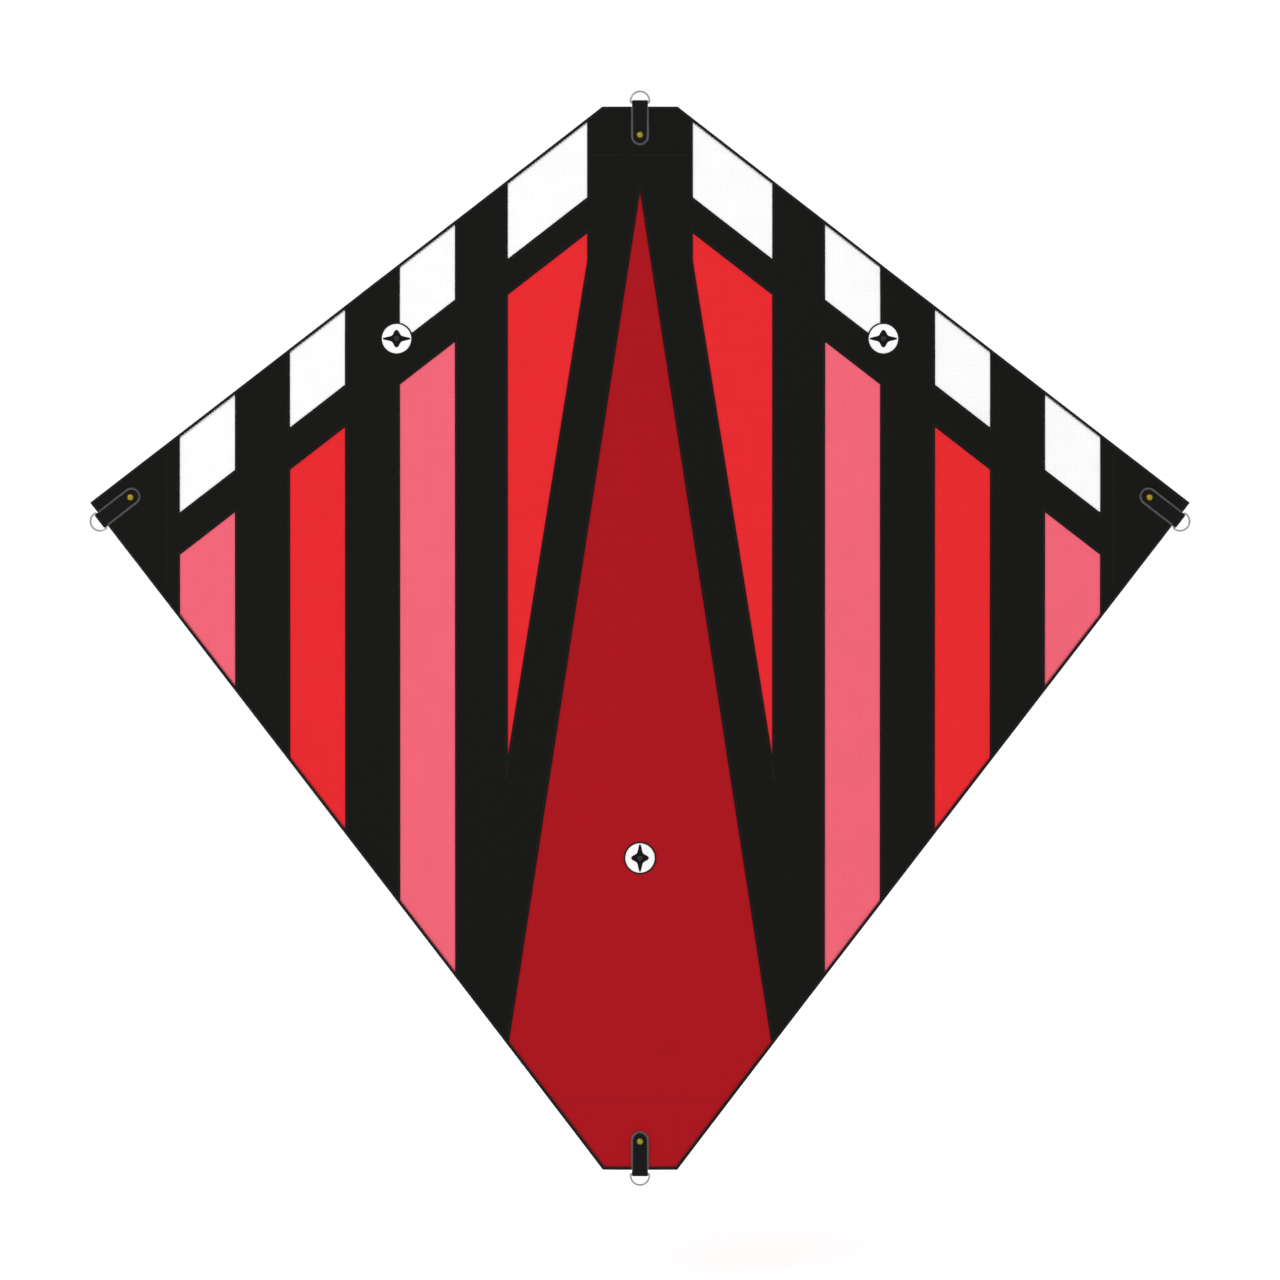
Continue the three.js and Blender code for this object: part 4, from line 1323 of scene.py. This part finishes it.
def bow_spar():
    """The bow's two rods, which follow its curve, end to end in a sleeve."""
    ends = np.array([0.3 * MM, 0.7 * MM])
    xs = [0.1 * MM, *ends, *np.linspace(6 * MM, BOW.end_x - 6 * MM, 90)]
    xs += [*(BOW.end_x - ends[::-1]), BOW.end_x]
    radii = np.full(len(xs), BOW_RADIUS)
    radii[[0, -1]] -= 0.5 * MM
    radii[[1, -2]] -= 0.15 * MM
    for side, sign in (("left", -1), ("right", 1)):
        rod = tube([BOW.at(sign * x) for x in xs], radii, 24)
        make(f"{side}_bow_glass_rod", rod, "bow_rod", f"{side}_bow_rod", sharp=60)

    def bent(x, y, z):
        return x, BOW.at(0)[1] + y, BOW.at(x)[2] + z

    bent_sleeve = moved(sleeve(20 * MM, BOW_RADIUS), bent)
    make("bow_sleeve", bent_sleeve, "bow_aluminium", "bow_ferrule", sharp=50)


def sleeve(half, rod):
    """A drawn tube on a rod of this radius, with two rings rolled into it near each end."""
    inner, outer, ring = rod + 0.05 * MM, rod + 0.8 * MM, 0.8 * MM
    line = [(-half, inner), (-half, outer)]
    for x in (-half + 2.5 * MM, -half + 5 * MM, half - 5 * MM, half - 2.5 * MM):
        line += [(x - ring, outer), (x, outer - 0.35 * MM), (x + ring, outer)]
    line += [(half, outer), (half, inner)]
    return lathe(fillet(line, 0.3 * MM, loop=True), 36, loop=True)


spine()
bow_spar()

# ---- Cross fitting --------------------


def prism(outline, y0, y1):
    """A solid between two depths whose outline, in x and z, is convex."""
    count = len(outline)
    points = [(x, y, z) for y in (y0, y1) for x, z in outline]
    faces = [tuple(range(count)), tuple(range(2 * count - 1, count - 1, -1))]
    return points, faces + bridge(range(count), range(count, 2 * count))


def box_outline(half_x, half_z):
    return [(half_x, half_z), (-half_x, half_z), (-half_x, -half_z), (half_x, -half_z)]


def cross_fitting():
    """A moulded cross: sleeves for the spine and the bow, gussets between them, and a flat pad behind."""
    spine_y, bow_y = FRONT_Y + SPINE_DEPTH, FRONT_Y + BOW_DEPTH
    spine_bore, bow_bore = SPINE_RADIUS + 0.3 * MM, BOW_RADIUS + 1.1 * MM
    wall, lip, collar = 1.4 * MM, 0.5 * MM, 2.4 * MM
    spine_half, bow_half = 17 * MM, 14 * MM
    pad_x, pad_z, round_off = 14 * MM, 8 * MM, 3 * MM
    block_x, gusset_half, gusset_z, gusset_low = 3.4 * MM, 0.9 * MM, 14.6 * MM, -0.8 * MM

    def rod(low, high, radius):
        low, high = sorted((low, high))
        return lathe([(low, 0), (low, radius), (high, radius), (high, 0)], 64)

    def upright(low, high, radius):
        return moved(rod(low, high, radius), lambda x, a, b: (a, spine_y + b, x))

    def level(low, high, radius):
        return moved(rod(low, high, radius), lambda x, a, b: (x, bow_y + a, b))

    pad = fillet(box_outline(pad_x, pad_z), round_off, 8, loop=True)
    shapes = [
        upright(-spine_half, spine_half, spine_bore + wall),
        level(-bow_half, bow_half, bow_bore + wall),
        prism(pad, bow_y + 1 * MM, 0),
        prism(box_outline(block_x, pad_z), spine_y, -2 * MM),
    ]
    for end in (-1, 1):
        spine_collar, bow_collar = spine_bore + wall + lip, bow_bore + wall + lip / 2
        shapes.append(upright(end * spine_half, end * (spine_half - collar), spine_collar))
        shapes.append(level(end * bow_half, end * (bow_half - collar), bow_collar))
        gusset = [(spine_y, 0), (gusset_low, 0), (gusset_low, pad_z)]
        gusset += [(spine_y + 4 * MM, gusset_z), (spine_y, gusset_z)]
        web = prism([(y, end * z) for y, z in gusset], -gusset_half, gusset_half)
        shapes.append(moved(web, lambda x, y, z: (y, x, z)))
    past = 3 * MM
    cutters = merge(
        upright(-spine_half - past, spine_half + past, spine_bore),
        level(-bow_half - past, bow_half + past, bow_bore),
        *[pin_mark(x) for x in (-8.5 * MM, 8.5 * MM)],
    )
    fused("moulded_cross", merge(*shapes), cutters, "plastic", "cross_fitting")


def pin_mark(at_x):
    """The round mark that a mould's ejector pin leaves in the pad, as a shallow disc to cut away."""
    deep, radius = 0.35 * MM, 2 * MM
    disc = lathe([(-deep, 0), (-deep, radius), (MM, radius + 0.2 * MM), (MM, 0)], 40)
    return moved(disc, lambda y, a, b: (at_x + b, y, a))


cross_fitting()

# ---- Bridle points --------------------

# A quarter of the star's outline, in millimetres from its middle, from its long point to a short one.
STAR = (
    (12.9, 0.6), (10.7, 1.3), (8.5, 1.8), (6, 2.4), (4.7, 2.95),
    (3.9, 3.7), (3.1, 5), (2.3, 6.6), (1.2, 7.9), (0, 8.4),
)


def star_window(turn):
    """A four-pointed star, longer one way than the other, turned by an angle."""
    half = [*STAR, *[(-x, y) for x, y in STAR[-2::-1]]]
    half = [(x * MM, y * MM) for x, y in spline(half, 5)]
    loop = half + [(-x, -y) for x, y in half]
    cos, sin = math.cos(turn), math.sin(turn)
    return [np.array([x * cos - y * sin, x * sin + y * cos]) for x, y in loop]


def star_patch(name, turn):
    """A white disc over a bridle point, with a star cut out of it, and the stitches that hold it."""
    x, z = here = np.array(BRIDLES[name])
    front, sunk = -CLOTH - 0.15 * MM, 0.12 * MM

    def raised(px, pz):
        return -sunk * (1 - smoothstep(np.hypot(px - x, pz - z), 9 * MM, 12 * MM))

    disc = ring_of(x, z, DISC_RADIUS, 72)
    options = {"holes": [[p + here for p in star_window(turn)]], "step": 1.2 * MM, "raised": raised}
    depths = (front, front + CLOTH)
    cloth(f"{name}_star_patch", disc, depths, "white", f"{name}_bridle_patch", **options)
    thread = Thread()
    seam = ring_of(x, z, DISC_RADIUS - 0.62 * MM, 72)
    thread.run(seam, front, -1, pitch=2 * MM, radius=0.16 * MM)
    thread.piece(f"{name}_star_stitching", "white_thread")
    rim, count = Thread(), 110
    inner = ring_of(x, z, DISC_RADIUS - 0.1 * MM, 2 * count)[::2]
    outer = ring_of(x, z, BACKING_RADIUS - 0.1 * MM, 2 * count)[1::2]
    for near, far in zip(inner, outer):
        rim.stitch(near, far, 0, -1)
    rim.piece(f"{name}_rim_stitching", "black_thread")


def cord_loop(name, spar_radius, spar_depth, spar_angle):
    """A cord round the spar, both ends brought forward through the sail into a stopper knot."""
    x, z = BRIDLES[name]
    cord, apart, size = 0.8 * MM, 0.85 * MM, 0.6 * MM
    winding = {"strands": 4, "lay": 2.6 * MM, "ridge": 0.13 * MM}
    radius = spar_radius + cord + 0.1 * MM
    knot_depth = -CLOTH - GAP - 2.4 * MM
    across_x, across_z = -math.sin(spar_angle), math.cos(spar_angle)
    side = [(apart, knot_depth + 1 * MM), (apart, 0), (apart, spar_depth - radius - 2.2 * MM)]
    circle = arc((0, spar_depth), radius, -52, 232, 17)
    line = spline([*side, *circle, *[(-s, d) for s, d in reversed(side)]], 8)
    path = [(x + across_x * s, FRONT_Y + d, z + across_z * s) for s, d in line]
    knot = []  # a trefoil
    for t in np.linspace(0, 2 * math.pi, 145):
        s = math.sin(t) + 2 * math.sin(2 * t)
        u = math.cos(t) - 2 * math.cos(2 * t)
        depth = knot_depth - 1.25 * size * math.sin(3 * t)
        knot.append((x + size * s, FRONT_Y + depth, z + size * u))
    tied = merge(*[tube(run, cord, 24, **winding) for run in (path, knot)])
    make(f"{name}_cord_loop", tied, "cord", f"{name}_bridle_loop")


def bridle():
    """The stars and cords of the bridle points, and the lower one's backing."""
    for name, (x, z) in BRIDLES.items():
        star_patch(name, math.pi / 2 if name == "lower" else 0)
        if name == "lower":
            cord_loop(name, SPINE_RADIUS, SPINE_DEPTH, math.pi / 2)
            disc = ring_of(x, z, BACKING_RADIUS, 72)
            options = {"holes": [cord_hole(name)], "step": 2 * MM}
            cloth("lower_backing_cloth", disc, layer(0), "black", "lower_patch_backing", **options)
        else:
            cord_loop(name, BOW_RADIUS, BOW.at(x)[1] - FRONT_Y, BOW.slope(x))


bridle()

# ---- Camera, floor and light --------------------


def studio():
    """A camera square to the sail, a white floor out of its view, and white light all round."""
    scene = bpy.context.scene
    lens, frame_width, view_height = 100.0, 1.2096, NOSE_Z - 0.5037
    floor_drop = 0.12
    camera_data = bpy.data.cameras.new("camera")
    camera_data.lens = lens
    camera = bpy.data.objects.new("camera", camera_data)
    distance = frame_width * lens / camera_data.sensor_width
    camera.location = (0, FRONT_Y - distance, view_height)
    camera.rotation_euler = (math.pi / 2, 0, 0)
    scene.collection.objects.link(camera)
    scene.camera = camera

    bpy.ops.mesh.primitive_plane_add(size=60, location=(0, 0, TAIL_Z - floor_drop))
    floor = bpy.context.active_object
    floor.name = "studio_floor"
    look = Shader("studio_floor_look", (0.998, 0.998, 0.998, 1), 0.9, specular=0.1)
    floor.data.materials.append(look.material)

    world = bpy.data.worlds.new("studio")
    world.use_nodes = True
    world.node_tree.nodes["Background"].inputs["Color"].default_value = (1, 1, 1, 1)
    world.node_tree.nodes["Background"].inputs["Strength"].default_value = 1.0
    scene.world = world

    lit_spot = Vector((0, 0, -0.33))
    for name, place, size, power in (
        ("key", (-2.2, -2.6, 1.9), 1.6, 26),
        ("back_fill", (1.6, 2.6, 1.2), 2.2, 22),
    ):
        light = bpy.data.lights.new(name, "AREA")
        light.size, light.energy = size, power
        lamp = bpy.data.objects.new(name, light)
        lamp.location = place
        lamp.rotation_euler = (lit_spot - Vector(place)).to_track_quat("-Z", "Y").to_euler()
        scene.collection.objects.link(lamp)
    scene.view_settings.view_transform = "Standard"


studio()
